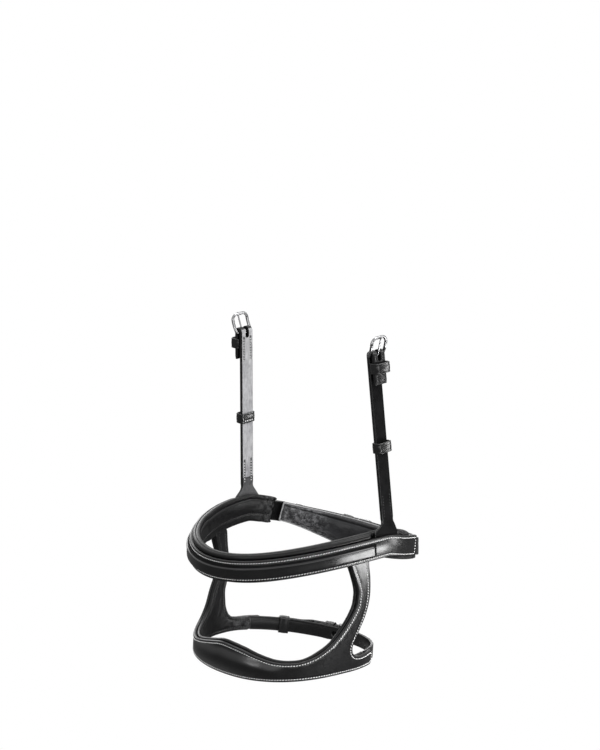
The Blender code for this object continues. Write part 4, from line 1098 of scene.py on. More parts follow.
def bridle_leather(maker, settings, wax=0.15, grain=1.0):
    """Black strap leather with a waxed, pored grain and soft handling marks."""
    rough = settings.leather_roughness
    maker.put(
        Base_Color=maker.clouded(maker.noise(70.0, 5.0), settings.leather_tone, 0.8, 1.3),
        Roughness=maker.spread(maker.noise(160.0, 5.0), 0.3, 0.7, rough - 0.02, rough + 0.05),
        Specular_IOR_Level=0.5, Coat_Weight=wax, Coat_Roughness=0.2,
    )
    maker.emboss(maker.noise(150.0, 3.0), 0.00010, 0.22 * grain)
    maker.emboss(maker.pores(1300.0, 0.6), settings.grain_depth, 0.35 * grain)
    maker.emboss(maker.noise(2600.0, 2.0), 0.00001, 0.4 * grain)


def dull_leather(maker, settings):
    """Black leather of the ears and of the straps' outer face: soft, close-grained and without wax."""
    cloud = maker.noise(90.0, 5.0)
    maker.put(
        Base_Color=maker.clouded(cloud, settings.leather_tone, 0.7, 1.5),
        Roughness=maker.spread(cloud, 0.3, 0.7, 0.5, 0.68),
        Specular_IOR_Level=0.03,
    )
    maker.emboss(maker.noise(240.0, 4.0), 0.00012, 0.5)
    maker.emboss(maker.pores(1200.0, 0.6), settings.grain_depth, 0.7)


def lining_leather(maker, settings, axis, start, end, painted_light_factor, creases=1.0):
    """Soft black leather of the padding: duller, with fine creases, and pale in spots towards its ends, which
    lie from start to end along the axis. The pale spots are painted glints of the creased leather, and the
    tone is scaled per piece, brightest on the jaw pad to paint its sheen."""
    # The one lining tone scaled per piece: lit and shaded copies of one leather, the jaw pad's bright copy a
    # painted sheen
    colour = maker.clouded(maker.noise(55.0, 6.0), shade(settings.lining_tone, painted_light_factor), 0.75, 1.35)
    # Pale spots towards the ends: painted glints of the creased lining
    spots = maker.spread(maker.noise(240.0, 8.0, 0.8), 0.46, 0.78)
    rubbed = maker.product(spots, maker.spread(maker.coordinate(axis), start, end))
    rough = settings.lining_roughness
    maker.put(
        Base_Color=maker.between(rubbed, colour, shade(settings.glint_tone, math.sqrt(painted_light_factor))),
        Roughness=maker.spread(maker.noise(220.0, 5.0), 0.3, 0.7, rough - 0.05, rough + 0.08),
        Specular_IOR_Level=0.28,
    )
    maker.emboss(maker.noise(310.0, 4.0, 0.6, 0.6), 0.00025 * creases, settings.crease_strength)
    maker.emboss(maker.pores(900.0, 0.5), settings.grain_depth * 1.6, 0.8)


def flesh_leather(maker, settings, tone_scale=1.0):
    """Undyed flesh side of the straps: pale, matt and fibrous, and soiled in patches. The tone scale darkens
    it all over, and some looks use that to paint shade.
    """
    tone = shade(settings.flesh_tone, tone_scale)
    fibre = maker.noise(420.0, 6.0, 0.7, 0.4, (1.0, 1.0, 0.35))
    colour = maker.between(maker.spread(fibre, 0.34, 0.64), shade(tone, 0.70), shade(tone, 1.16))
    patch = maker.spread(maker.noise(75.0, 4.0), 0.38, 0.62)
    soiled = maker.multiplied(colour, maker.between(patch, (0.78, 0.78, 0.79), (1.0, 1.0, 1.0)))
    pits = maker.between(maker.spread(maker.cells(560.0), 0.05, 0.24), (0.62, 0.62, 0.63), (1.0, 1.0, 1.0))
    maker.put(Base_Color=maker.multiplied(soiled, pits), Roughness=0.85, Specular_IOR_Level=0.25)
    maker.emboss(fibre, 0.00010, 0.6)


def burnished_edge(maker, settings):
    """Cut edges of the straps: inked black and rubbed to a shine."""
    tone = settings.leather_tone
    cloud = maker.noise(900.0, 3.0, 0.6, 0.0, (0.3, 0.3, 1.0))
    maker.put(
        Base_Color=maker.between(cloud, shade(tone, 0.8), shade(tone, 2.2)),
        Roughness=maker.spread(cloud, 0.3, 0.7, 0.26, 0.42),
        Specular_IOR_Level=0.34, Coat_Weight=0.08, Coat_Roughness=0.25,
    )
    maker.emboss(cloud, 0.00008, 0.5)


def sewing_thread(maker, settings, which):
    """Waxed thread: matt, with the twist of its plies as a fine ripple."""
    tone = getattr(settings, which)
    twist = maker.noise(3800.0, 2.0)
    colour = maker.between(twist, shade(tone, 0.86), shade(tone, 1.1))
    maker.put(Base_Color=colour, Roughness=0.6, Sheen_Weight=0.1)
    maker.emboss(twist, 0.00004, 0.7)


def piping_cord(maker, settings):
    """Grey rolled edge of the jaw pad."""
    tone = settings.piping_tone
    cloud = maker.noise(500.0, 4.0)
    maker.put(Base_Color=maker.between(cloud, shade(tone, 0.75), shade(tone, 1.2)), Roughness=0.5)
    maker.emboss(cloud, 0.00012, 0.5)


def polished_steel(maker, settings):
    """Stainless steel, polished, with faint marks of wear."""
    marks = maker.noise(700.0, 5.0, 0.6, 0.0, (1.0, 1.0, 0.2))
    colour = maker.between(marks, (0.30, 0.30, 0.31), (0.42, 0.42, 0.42))
    maker.put(Base_Color=colour, Roughness=maker.spread(marks, 0.3, 0.7, 0.12, 0.22), Metallic=1.0)
    maker.emboss(marks, 0.00002, 0.3)


def grey_foam(maker, settings):
    """Open foam inside the front of the lower nosepiece."""
    pores = maker.cells(1500.0)
    maker.put(Base_Color=maker.between(pores, (0.05, 0.05, 0.05), (0.16, 0.16, 0.16)), Roughness=0.95)
    maker.emboss(pores, 0.0003, 0.8)


def floor_paper(maker, settings):
    """White studio paper, lit from within a little so that it meets the backdrop without a line."""
    colour = maker.between(maker.noise(40.0, 4.0), (0.86, 0.86, 0.86), (0.90, 0.90, 0.90))
    maker.put(
        Base_Color=colour, Roughness=0.9, Specular_IOR_Level=0.1, Emission_Color=WHITE, Emission_Strength=0.85
    )


# How each look is made, with what sets it apart from others of its sort
LOOKS = {
    "bridle_leather": (bridle_leather,),
    "keeper_leather": (bridle_leather, 0.5, 0.3),
    "dull_leather": (dull_leather,),
    "padding_leather": (lining_leather, "Y", 0.014, 0.034, 0.6),
    "lining_leather": (lining_leather, "Y", -0.030, -0.010, 0.8),
    # The jaw pad: lining tone four times brighter as a painted sheen, with its painted glints towards the off
    # end
    "pad_leather": (lining_leather, "X", -0.046, -0.060, 4.0, 1.8),
    "flesh_side": (flesh_leather,),
    # Flesh side darkened to paint the shade of sewn stitch grooves and the shadow at a hanger's foot
    "sewn_flesh": (flesh_leather, 0.16),
    # Flesh side darkened to about a quarter of its tone, for the inner face of the ears
    "worn_flesh": (flesh_leather, 0.24),
    "burnished_edge": (burnished_edge,),
    "white_thread": (sewing_thread, "thread_tone"),
    "dark_thread": (sewing_thread, "inner_thread_tone"),
    "piping_cord": (piping_cord,),
    "polished_steel": (polished_steel,),
    "grey_foam": (grey_foam,),
    "floor_paper": (floor_paper,),
}

# Looks of a piece's outer face, edge and inner face
STRAP_LOOKS = ("bridle_leather", "burnished_edge", "bridle_leather")
EAR_LOOKS = ("dull_leather", "burnished_edge", "worn_flesh")


def finish(*names):
    """The materials of the given looks, made on first use."""
    for name in names:
        if name not in bpy.data.materials:
            make, *details = LOOKS[name]
            make(Maker(name), bpy.context.scene.noseband_finishes, *details)
    return [bpy.data.materials[name] for name in names]


def tone_property(name, about, default):
    return bpy.props.FloatVectorProperty(
        name=name, description=about, default=default, subtype="COLOR", size=3, min=0.0, max=1.0
    )


def share_property(name, about, default):
    return bpy.props.FloatProperty(
        name=name, description=about, default=default, min=0.0, max=1.0, subtype="FACTOR"
    )


def length_property(name, about, default):
    return bpy.props.FloatProperty(name=name, description=about, default=default, min=0.0, unit="LENGTH")


def light_property(name, place, default):
    return bpy.props.FloatProperty(name=name, description=f"Brightness {place}", default=default, min=0.0)


def point_property(name, about, default):
    return bpy.props.FloatVectorProperty(
        name=name, description=about, default=default, subtype="TRANSLATION", unit="LENGTH"
    )


class FinishSettings(bpy.types.PropertyGroup):
    """Colours and surfaces."""

    leather_tone: tone_property("Leather", "Colour of the strap leather", (0.0065, 0.0065, 0.0068))
    leather_roughness: share_property("Leather roughness", "Dullness of the strap leather", 0.22)
    grain_depth: length_property("Grain depth", "Depth of the leather's pores", 0.00003)
    lining_tone: tone_property("Lining", "Colour of the soft lining leather", (0.006, 0.006, 0.0064))
    lining_roughness: share_property("Lining roughness", "Dullness of the lining leather", 0.32)
    crease_strength: share_property("Creases", "Strength of the lining's fine creases", 0.45)
    # Colour of the lining's pale spots, which paint glints
    glint_tone: tone_property("Lining glints", "Colour of the lining's rubbed spots", (0.17, 0.17, 0.175))
    flesh_tone: tone_property("Flesh side", "Colour of the straps' inner face", (0.45, 0.45, 0.46))
    thread_tone: tone_property("Thread", "Colour of the outer stitches", (0.92, 0.92, 0.92))
    inner_thread_tone: tone_property("Inner thread", "Colour of the lining's stitches", (0.03, 0.03, 0.03))
    piping_tone: tone_property("Piping", "Colour of the jaw pad's rolled edge", (0.36, 0.36, 0.365))


class StitchSettings(bpy.types.PropertyGroup):
    """Sizes of the stitches."""

    stitch_pitch: length_property("Pitch", "Distance from one stitch to the next", 0.0025)
    stitch_length: length_property("Length", "Length of one stitch", 0.0017)
    thread_width: length_property("Thread", "Width of the thread", 0.00075)
    strap_row_inset: length_property("Inset", "Distance of the rows from the strap's edges", 0.0023)
    sheet_row_inset: length_property("Lower inset", "Distance of the rows from the lower edges", 0.0022)


class PaddingSettings(bpy.types.PropertyGroup):
    """How full the padding is."""

    roll_stand: length_property("Roll", "How far the top roll stands out over the leather", 0.0011)
    cushion_height: length_property("Cushion", "How far the inner cushion stands in", 0.0011)
    channel_depth: length_property("Channels", "Depth of the sewn channels", 0.0011)
    wrinkle_depth: length_property("Wrinkles", "Depth of the wrinkles near the ends", 0.00045)
    fill: share_property("Fill", "How tightly the padding is filled", 0.7)


class StageSettings(bpy.types.PropertyGroup):
    """Camera, floor and light."""

    aim: point_property("Aim", "Point in the middle of the picture", (-0.0259, 0.0170, -0.0353))
    camera: point_property("Camera", "Where the camera stands", (1.3715, -1.3610, 0.3497))
    focal_length: bpy.props.FloatProperty(
        name="Focal length", description="Lens in millimetres on a 36 mm tall sensor", default=104.35,
    )
    floor_drop: length_property("Floor drop", "How far the floor lies below the noseband", 0.50)
    backdrop: share_property("Backdrop", "Brightness of the backdrop", 1.0)
    low_room: share_property("Lower room", "Brightness of the room below the noseband", 0.15)
    high_room: share_property("Upper room", "Brightness of the room above the noseband", 0.85)
    side_light: light_property("Side light", "of the low strip behind right", 18.5)
    nose_light: light_property("Nose light", "of the small light in front", 6.0)
    fill_light: light_property("Fill light", "from the near side", 1.1)
    crown_light: light_property("Crown light", "on the top roll from above", 3.5)
    top_light: light_property("Top light", "from above right", 5.0)
    front_light: light_property("Front light", "from behind the camera", 0.9)
    back_light: light_property("Back light", "from behind left", 2.5)
    keeper_light: light_property("Keeper light", "of the tall strip behind right", 14.0)
    rear_light: light_property("Rear light", "over the front of the noseband from behind", 3.0)


def wrinkled(rings, stations, ripple, strength):
    """The skin over rings at stations of the nose loop, with the ripple as strong as each station has it."""
    _, _, outward, _ = NOSE.axes_at(stations)
    return ring_skin(rings + outward[:, None] * (ripple * strength[:, None])[..., None])


def level_at(out):
    """A surface that lies the same distance out everywhere."""
    return lambda points: np.full(len(points), out)


def roll_profile(inner, high_outer, stand, half):
    """(out, across) of the padding's top roll from the seam up and over to its inner face."""
    rise = (
        (0.0, 0.0079), (0.25, 0.0083), (0.80, 0.0086), (1.0, 0.0092), (0.93, 0.0101), (0.72, 0.0110),
        (0.38, 0.0118),
    )
    crown = (
        (0.08, -0.0007), (0.20, -0.0003), (0.29, -0.0009), (0.38, -0.0002), (0.56, 0.0001), (0.80, 0.0002),
        (0.92, -0.0001), (0.99, -0.0010),
    )
    profile = [(high_outer + stand * share, across) for share, across in rise]
    return profile + [(high_outer - (high_outer - inner) * share, half + lift) for share, lift in crown]


class NOSEBAND_OT_nose_padding(bpy.types.Operator):
    """Build the padding of the nose band: a top roll, an inner cushion and two sewn channels"""

    bl_idname = "noseband.nose_padding"
    bl_label = "Nose padding"

    def execute(self, context):
        settings = context.scene.noseband_padding
        seat = NOSE.distance_at(90)
        near_pocket = NOSE.distance_at(WINDOW_EDGE[-1][0]) - POCKET_SLOPE
        off_pocket = NOSE.distance_at(WINDOW_EDGE[-1][0] - OFF_ARM_AHEAD) - POCKET_SLOPE
        ear_front = seat - EAR_WIDTH / 2 - POCKET_MARGIN
        pocket_rear = seat + EAR_WIDTH / 2 + POCKET_MARGIN
        loop_step = NOSE_HALF_WIDTH - LOWER_LEATHER_THICKNESS - MUZZLE_HALF_WIDTH
        arm_lean = loop_step / (MUZZLE_DROP - BAND_HEIGHT)
        arm_depth = LOWER_LEATHER_THICKNESS + GAP + ARM_PLAY + abs(arm_lean) * (BAND_HEIGHT / 2 + ARM_JOIN)
        end = NOSE.distance_at(BAND_PADDING_END)
        half = BAND_HEIGHT / 2
        stations = both_sides(stations_between(0, end, BAND_STEP))
        levels = np.round(np.arange(-0.0098, 0.0106, 0.00062), 5)
        heights = sorted({UPPER_CHANNEL, LOWER_CHANNEL}.union(levels), reverse=True)

        def section(index):
            distance = abs(stations[index])
            pocket_front = near_pocket if stations[index] > 0 else off_pocket
            before = ease(distance, pocket_front - POCKET_SLOPE, pocket_front)
            after = 1 - ease(distance, pocket_rear, pocket_rear + POCKET_SLOPE)
            at_ear = ease(distance, ear_front - POCKET_MARGIN, ear_front) * after
            inner = -BAND_PADDING_THICKNESS - 0.0009 * before * after
            low_outer = -GAP / 2 - arm_depth * before * after
            high_outer = -GAP / 2 - (EAR_THICKNESS + GAP) * at_ear
            from_end = end - distance
            closing = 1 - 0.05 * ease(distance, end - 0.003, end)
            thin = 1 - 0.5 * ease(distance, end - 0.006, end)
            seam = ease(from_end, 0.0, 0.012) * bump(from_end, 0.0015, 0.0011)
            profile = roll_profile(inner, high_outer, settings.roll_stand * (1 - at_ear), half)
            for across in heights:
                cushion = np.clip(1 - ((across - 0.0015) / 0.0067) ** 2, 0, 1) ** 0.7
                channels = 0.5 * bump(across, UPPER_CHANNEL, 0.0013)
                channels += 0.5 * bump(across, LOWER_CHANNEL, 0.0016)
                depth = inner - settings.cushion_height * cushion - 0.0004 * ease(across, 0.0086, 0.0104)
                depth += settings.channel_depth * channels + 0.0002 * seam
                profile.append((high_outer + (depth - high_outer) * thin, across))
            thick = (low_outer - inner) / 2
            profile += arc(inner + thick, thick - half, thick, 205, 360, 9)
            profile += [(low_outer, across) for across in (-0.0075, -0.004, 0.0, 0.004, 0.006)]
            profile.append((high_outer, 0.0072))
            return [(out, across * closing) for out, across in profile]

        rings = swept(NOSE.place, stations, section)
        strength = settings.wrinkle_depth * (0.12 + 0.7 * (1 - ease(end - np.abs(stations), 0.008, 0.034)))
        ripple = value_noise(rings, 230.0, 3) + 0.6 * value_noise(rings, 520.0, 5)
        roll_points = 15
        ripple[:, :roll_points - 4] *= 0.25
        ripple[:, roll_points + len(heights) + 4:] = 0.0
        skin = wrinkled(rings, stations, ripple, strength)
        build_padded("nose_padding", skin, "padding_leather", settings.fill)
        return {"FINISHED"}


def strap_levels(distance):
    """Bottom and top edge of the nose band's leather at a distance from the front."""
    taper = ease(np.abs(distance), NOSE.distance_at(101), NOSE.distance_at(BAND_LEATHER_END))
    top = BAND_LEATHER_TOP + (BAND_TAIL_HALF_HEIGHT - BAND_LEATHER_TOP) * taper
    bottom = BAND_LEATHER_BOTTOM + (-BAND_TAIL_HALF_HEIGHT - BAND_LEATHER_BOTTOM) * taper
    return bottom, top


class NOSEBAND_OT_nose_leather(bpy.types.Operator):
    """Build the nose band's leather and its raised panel"""

    bl_idname = "noseband.nose_leather"
    bl_label = "Nose band leather"

    def execute(self, context):
        row_inset = context.scene.noseband_stitches.strap_row_inset
        stations = both_sides(stations_between(0, NOSE.distance_at(BAND_LEATHER_END), BAND_STEP))

        def leather(index):
            bottom, top = strap_levels(stations[index])
            profile = box_section(GAP / 2, BAND_OUTER, bottom, top, BAND_CORNER, 5)
            for row in (bottom + BOTTOM_ROW_INSET, top - row_inset):
                profile.append((BAND_OUTER, row - GROOVE_HALF_WIDTH))
                profile.append((BAND_OUTER - GROOVE_DEPTH, row))
                profile.append((BAND_OUTER, row + GROOVE_HALF_WIDTH))
            return profile

        skin = ring_skin(swept(NOSE.place, stations, leather))
        kinds = ([1] * 9 + [2] + [1] * 9 + [0] * 7) * (len(stations) - 1) + [1, 1]
        looks = ("bridle_leather", "burnished_edge", "dull_leather")
        build("nose_band_leather", skin, looks, ROOT, "nose_strap", kinds=kinds)
        self.raise_panel()
        return {"FINISHED"}

    def raise_panel(self):
        """The panel on the band's front, glossy but for its bevelled ends and rims."""
        end = NOSE.distance_at(PANEL_END)
        bevel = stations_between(end - PANEL_END_BEVEL, end, 0.0007)
        stations = both_sides([*stations_between(0, end - PANEL_END_BEVEL, BAND_STEP), *bevel[1:]])
        foot = (
            (0.0, 0.0), (0.30, 0.0002), (0.62, 0.0005), (0.84, 0.0009), (0.96, 0.0014), (1.0, 0.0021),
            (1.0, 0.0034),
        )
        crown = (
            (1.0, -0.0026), (1.0, -0.0014), (1.015, -0.0008), (1.035, -0.0003), (1.01, 0.0002),
            (0.86, 0.0006), (0.62, 0.0011), (0.40, 0.0016), (0.22, 0.0022),
        )
        profile = [(rise, PANEL_BOTTOM + across) for rise, across in foot]
        profile.append((1.0, (PANEL_BOTTOM + PANEL_CROWN_TOP) / 2))
        profile += [(rise, PANEL_CROWN_TOP + across) for rise, across in crown]
        profile += [(0.11, PANEL_TOP - 0.0003), (0.0, PANEL_TOP)]
        glossy_sides = range(3, 14)

        def panel(index):
            from_end = end - abs(stations[index])
            share = np.clip(from_end / PANEL_END_BEVEL, 0.0, 1.0)
            lift = 0.12 + 0.88 * (1 - (1 - share) ** 1.6)
            shoulder = 0.02 * bump(from_end, PANEL_END_BEVEL * 0.95, 0.0012)
            height = PANEL_RISE * (lift + shoulder)
            return [(BAND_OUTER + GAP + height * rise, across) for rise, across in profile]

        skin = ring_skin(swept(NOSE.place, stations, panel))
        bevelled = end - np.abs(stations) < PANEL_END_BEVEL - 0.0002
        kinds = [
            0 if side in glossy_sides and not (here or there) else 1
            for here, there in zip(bevelled, bevelled[1:])
            for side in range(len(profile))
        ]
        looks = ("bridle_leather", "dull_leather")
        build("nose_panel_raised", skin, looks, ROOT, "nose_panel", kinds=[*kinds, 1, 1], sharp=PANEL_SHARP)


def leather_low(points):
    return GAP / 2 + swell(np.degrees(MUZZLE.angle_at(points[:, 0])), points[:, 1])


def leather_high(points):
    return leather_low(points) + LOWER_LEATHER_THICKNESS


def lower_leather_outline():
    return lower_outline(WINDOW_EDGE, ARM_REAR_EDGE, TAIL_END)


def lower_lining_outline():
    """The leather's outline with a lip round the window, cut short of the upper band and of the tails."""
    top = MUZZLE_DROP - ARM_FOOT_RISE - BAND_HEIGHT - 0.0006
    window = [
        (degrees - (0 if degrees < 60 else 0.8), rise + (LOWER_LINING_LIP if degrees < 66 else 0.0))
        for degrees, rise in WINDOW_EDGE
        if rise < top - 0.008
    ]
    edge = np.array(WINDOW_EDGE[-5:])
    window.append((np.interp(top, edge[:, 1], edge[:, 0]) - 0.8, top))
    rear = [(d, rise) for d, rise in ARM_REAR_EDGE if rise < top - 0.008 and d < TAIL_LINING_END]
    return lower_outline(window, [(82.3, top), *rear, (TAIL_LINING_END, TAIL_HEIGHT)], TAIL_LINING_END)


class NOSEBAND_OT_lower_nosepiece(bpy.types.Operator):
    """Build the lower nosepiece's leather, its lining and the foam between them"""

    bl_idname = "noseband.lower_nosepiece"
    bl_label = "Lower nosepiece"

    def execute(self, context):
        row_inset = context.scene.noseband_stitches.sheet_row_inset
        wrinkle = context.scene.noseband_padding.wrinkle_depth
        outline = lower_leather_outline()
        skin, kinds = sheet_skin(outline, bend_on_skin, leather_low, leather_high, 0.0009, row_inset)
        build("lower_nosepiece_leather", skin, STRAP_LOOKS, ROOT, "lower_nosepiece", kinds=kinds)

        tail = MUZZLE.distance_at(TAIL_LINING_END)

        def inner(spots):
            creased = 0.4 + 1.6 * (1 - ease(tail - np.abs(spots[:, 0]), 0.004, 0.034))
            flat = np.column_stack([spots, np.zeros(len(spots))])
            ripple = value_noise(flat, 260.0, 9) + 0.5 * value_noise(flat, 600.0, 11)
            return LINING_INNER + wrinkle * creased * ripple

        outline = lower_lining_outline()
        rim, row = 0.0013, row_inset + 0.001
        skin, _ = sheet_skin(outline, bend_on_skin, inner, level_at(LINING_OUTER), rim, row, 0.0003)
        build_padded("lower_lining", skin, "lining_leather", LINING_FILL)
        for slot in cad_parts["nose_foam"].material_slots:
            slot.material = finish("grey_foam")[0]
        return {"FINISHED"}


def pad_shape(distance, start, middle, end):
    """Half height of the jaw pad at a distance, and how far its middle lies above the band's."""
    near, off = ease(distance, start, middle), ease(distance, middle, end)
    tall = PAD_HALF_HEIGHT_START + (PAD_HALF_HEIGHT_MIDDLE - PAD_HALF_HEIGHT_START) * near
    tall = tall + (PAD_HALF_HEIGHT_END - PAD_HALF_HEIGHT_MIDDLE) * off
    return tall, PAD_END_LIFT * off - PAD_SAG * (1 - off) * near


class NOSEBAND_OT_jaw_pad(bpy.types.Operator):
    """Build the padded piece under the jaw, its backing and its piped edge"""

    bl_idname = "noseband.jaw_pad"
    bl_label = "Jaw pad"

    def execute(self, context):
        settings = context.scene.noseband_padding
        start, middle, end = (NOSE.distance_at(turn) for turn in (PAD_START, PAD_MIDDLE, PAD_END))
        span = (start, middle, end)
        rim = stations_between(0.0, PAD_RIM_LENGTH, 0.0011)
        between = stations_between(start + PAD_RIM_LENGTH, end - PAD_RIM_LENGTH, BAND_STEP)[1:-1]
        stations = np.concatenate([start + rim, between, (end - rim)[::-1]])
        outer = -BACKING_INSET
        inner = outer - BACKING_THICKNESS
        pad_outer = inner - GAP

        def backing(index):
            tall, level = pad_shape(stations[index], *span)
            profile = box_section(inner, outer, -tall - BACKING_LIP, tall + BACKING_LIP, 0.0006, 4)
            return [(out, across + level) for out, across in profile]

        skin = ring_skin(swept(NOSE.place, stations, backing))
        build("jaw_pad_backing_leather", skin, ["bridle_leather"], ROOT, "jaw_pad_backing")

        shares = np.linspace(-1, 1, 41)
        lower_channel, upper_channel = -0.66, 0.74

        def pad(index):
            distance = stations[index]
            from_end = min(distance - start, end - distance)
            full = ease(from_end, -0.004, 0.016)
            thick = PAD_END_THICKNESS + (PAD_THICKNESS - PAD_END_THICKNESS) * full
            thick *= 0.55 + 0.45 * math.sqrt(np.clip(from_end / 0.0035, 0, 1))
            tall, level = pad_shape(distance, *span)
            crown = np.clip(1 - ((shares - 0.04) / 0.72) ** 2, 0, 1) ** 0.55
            border = 0.56 + 0.10 * np.cos((np.abs(shares) - 0.85) * 9)
            depth = np.maximum(border, 0.52 + 0.48 * crown)
            depth -= 0.18 * bump(shares, lower_channel, 0.09) + 0.14 * bump(shares, upper_channel, 0.08)
            depth *= np.sqrt(np.clip(1 - np.abs(shares) ** 16, 0.02, 1))
            lines = [(pad_outer - thick * deep, tall * share) for deep, share in zip(depth, shares)]
            profile = [(pad_outer, -tall * 0.93), *lines, (pad_outer, tall * 0.93), (pad_outer, 0.0)]
            return [(out, across + level) for out, across in profile]

        rings = swept(NOSE.place, stations, pad)
        off = ease(stations, middle, end - 0.01)
        near_ends = 1 - ease(np.minimum(stations - start, end - stations), 0.004, 0.03)
        strength = settings.wrinkle_depth * (0.3 + 1.3 * off + 0.6 * near_ends)
        ripple = value_noise(rings, 210.0, 13) + 0.6 * value_noise(rings, 480.0, 17)
        ripple[:, [0, 1, 2, -4, -3, -2, -1]] = 0.0
        skin = wrinkled(rings, stations, ripple, strength)
        build_padded("jaw_pad", skin, "pad_leather", settings.fill)

        bare = stations[stations > start + 0.45 * (end - start)]
        tall, level = pad_shape(bare, *span)
        end_tall, end_level = pad_shape(end, *span)
        cap = np.full(9, end)
        line = np.concatenate([bare, cap + 0.0002, bare[::-1]])
        above, below = level + (tall + 0.0001), level - (tall + 0.0001)
        rounding = end_level + np.linspace(end_tall * 0.9, -end_tall * 0.9, 9)
        across = np.concatenate([above, rounding, below[::-1]])
        path = NOSE.place(line, pad_outer - 0.0022, across)
        _, _, facing, _ = NOSE.axes_at(np.concatenate([bare, cap, bare[::-1]]))
        facing = square_to(facing, unit(np.gradient(path, axis=0)))
        build("jaw_pad_piping", tube(path, 0.00075, facing, sides=8), ["piping_cord"], ROOT)
        return {"FINISHED"}


def build_closure(name, closure):
    """Buckle strap, billet and two keepers of one closure."""
    thickness, width, place = CLOSURE_THICKNESS, closure.width, closure.loop.place
    rows = (-width / 2 + CLOSURE_ROW_INSET, width / 2 - CLOSURE_ROW_INSET)
    skin, kinds = strap_skin(place, closure.strap, thickness, width, rows)
    turned = closure.turn_start * ((len(kinds) - 2) // (len(closure.strap) - 1))
    kinds = [min(kind, 1 if index >= turned else 2) for index, kind in enumerate(kinds)]
    holes = [turn_slot_cutter(closure.turn_axes, 0.0045)]
    node = f"{name}_buckle_strap"
    build(f"{node}_leather", skin, STRAP_LOOKS, ROOT, node, kinds=kinds, holes=holes)

    tip = (closure.end - closure.billet[:, 0]) / 0.009
    widths = width * np.where(tip < 1, np.sqrt(np.clip(1 - (1 - tip) ** 2, 0.04, 1.0)), 1.0)
    skin, kinds = strap_skin(place, closure.billet, thickness, widths)
    holes = [cutter(axes, arc(0.0, 0.0, HOLE_RADIUS, 0, 337.5, 16), 0.004) for axes in closure.spare_holes]
    used = USED_HOLE_LENGTH / 2 + 0.0008
    holes.append(slot_cutter(closure.crossing, -used, used, 0.006))
    node = f"{name}_billet"
    build(f"{node}_leather", skin, STRAP_LOOKS, ROOT, node, kinds=kinds, holes=holes)

    for part, axes, low, high in closure.keepers:
        body = ROOT if part == "fixed" else f"{name}_keeper"
        skin = keeper_skin(axes, 0.0, low, high, width / 2 + KEEPER_SIDE_PLAY)
        node = f"{name}_{part}_keeper"
        build(f"{node}_loop", skin, ["keeper_leather"], body, node)


class NOSEBAND_OT_closures(bpy.types.Operator):
    """Build the jaw strap and the chin strap: buckle straps, billets and keepers"""

    bl_idname = "noseband.closures"
    bl_label = "Closures"

    def execute(self, context):
        build_closure("jaw", jaw_closure())
        build_closure("chin", chin_closure())
        return {"FINISHED"}


def hanger_line():
    """Line and thickness of the near hanger strap, where its turned end starts, and the heel bar's axes."""
    axes, reach = hanger_axes()
    thick = HANGER_THICKNESS
    bar_out = BAR_RADIUS + BAR_PLAY + thick / 2
    turns = [math.radians(turn) for turn in (78, 60, 40, 20)]
    foot = [(-math.sin(turn) * thick / 2 * 0.98, 0.0) for turn in turns]
    straight = [(along, 0.0) for along in stations_between(0.0, reach - 0.001, 0.003)]
    turned = turn_line(reach, bar_out, thick, -1)
    line = np.array(foot + straight + turned)
    thickness = [math.cos(turn) * thick for turn in turns]
    thickness += [thick] * (len(straight) + len(turned) - 1) + [0.55 * thick]
    turn_axes = Rigid(axes.place(reach, bar_out, 0.0), axes.along, axes.out)
    return line, thickness, len(foot) + len(straight), turn_axes


def ear_outline():
    """Pattern of the flared leather tab that joins a hanger to the nose band."""
    half = BAND_HEIGHT / 2
    neck, wide = EAR_NECK_WIDTH / 2, EAR_WIDTH / 2
    top = half + EAR_STAND
    foot = half - EAR_TUCK
    edge = arc(wide - 0.002, foot + 0.002, 0.002, -90, 0, 5)
    edge += [(wide, across) for across in np.linspace(foot + 0.003, half - 0.002, 8)]
    for turn in np.linspace(0, 84, 11):
        narrowed = (1 - math.sin(math.radians(turn))) ** 1.2
        edge.append((neck + (wide - neck) * narrowed, half - 0.001 + (EAR_STAND + 0.001) * turn / 90))
    edge.append((neck, top))
    outline = edge + [(share * neck, top) for share in (0.6, 0.2, -0.2, -0.6)]
    outline += [(-along, across) for along, across in reversed(edge)]
    outline += [(share * wide, foot) for share in (-0.6, -0.4, -0.2, 0.0, 0.2, 0.4, 0.6)]
    return np.array(outline)


def ear_skin(axes):
    """The near ear, and each face's kind."""
    seat = NOSE.distance_at(90)
    low, high = -GAP / 2 - EAR_THICKNESS, -GAP / 2

    def bend(points, out):
        """The ear's foot follows the band, and its neck comes square with the strap."""
        along, across = points[:, 0], points[:, 1]
        foot = NOSE.place(seat + along, out, across)
        neck = axes.place(across - FOLD_ACROSS, out - (low + high) / 2, -along)
        share = ease(across, BAND_HEIGHT / 2 + 0.0003, BAND_HEIGHT / 2 + 0.0065)[:, None]
        return foot * (1 - share) + neck * share

    return sheet_skin(ear_outline(), bend, level_at(low), level_at(high), 0.0005)


def hanger_skin(axes, reach):
    """The near hanger strap, and each face's kind: grooves are pale flesh where they aren't sewn and flesh
    with painted shade where they are, the flesh at the foot has a painted shadow, and the turned end shows no
    flesh side."""
    line, thickness, turned, _ = hanger_line()
    skin, kinds = strap_skin(axes.place, line, thickness, HANGER_WIDTH, HANGER_ROWS, 0.0010, 0.0006)
    sides = (len(kinds) - 2) // (len(line) - 1)
    for index, kind in enumerate(kinds):
        station = min(index // sides, len(line) - 1)
        along = line[station, 0]
        unsewn = SEWN_LENGTH < along < reach - SEWN_START - SEWN_LENGTH
        if station > turned + 2:
            kinds[index] = min(kind, 1)
        # Painted shadow on the flesh where the strap's foot leaves the ear
        elif kind == 2 and along < PAINTED_FOOT_SHADE:
            kinds[index] = 3
        elif kind == 3 and (unsewn or along > reach - SEWN_START):
            kinds[index] = 2
    return skin, kinds


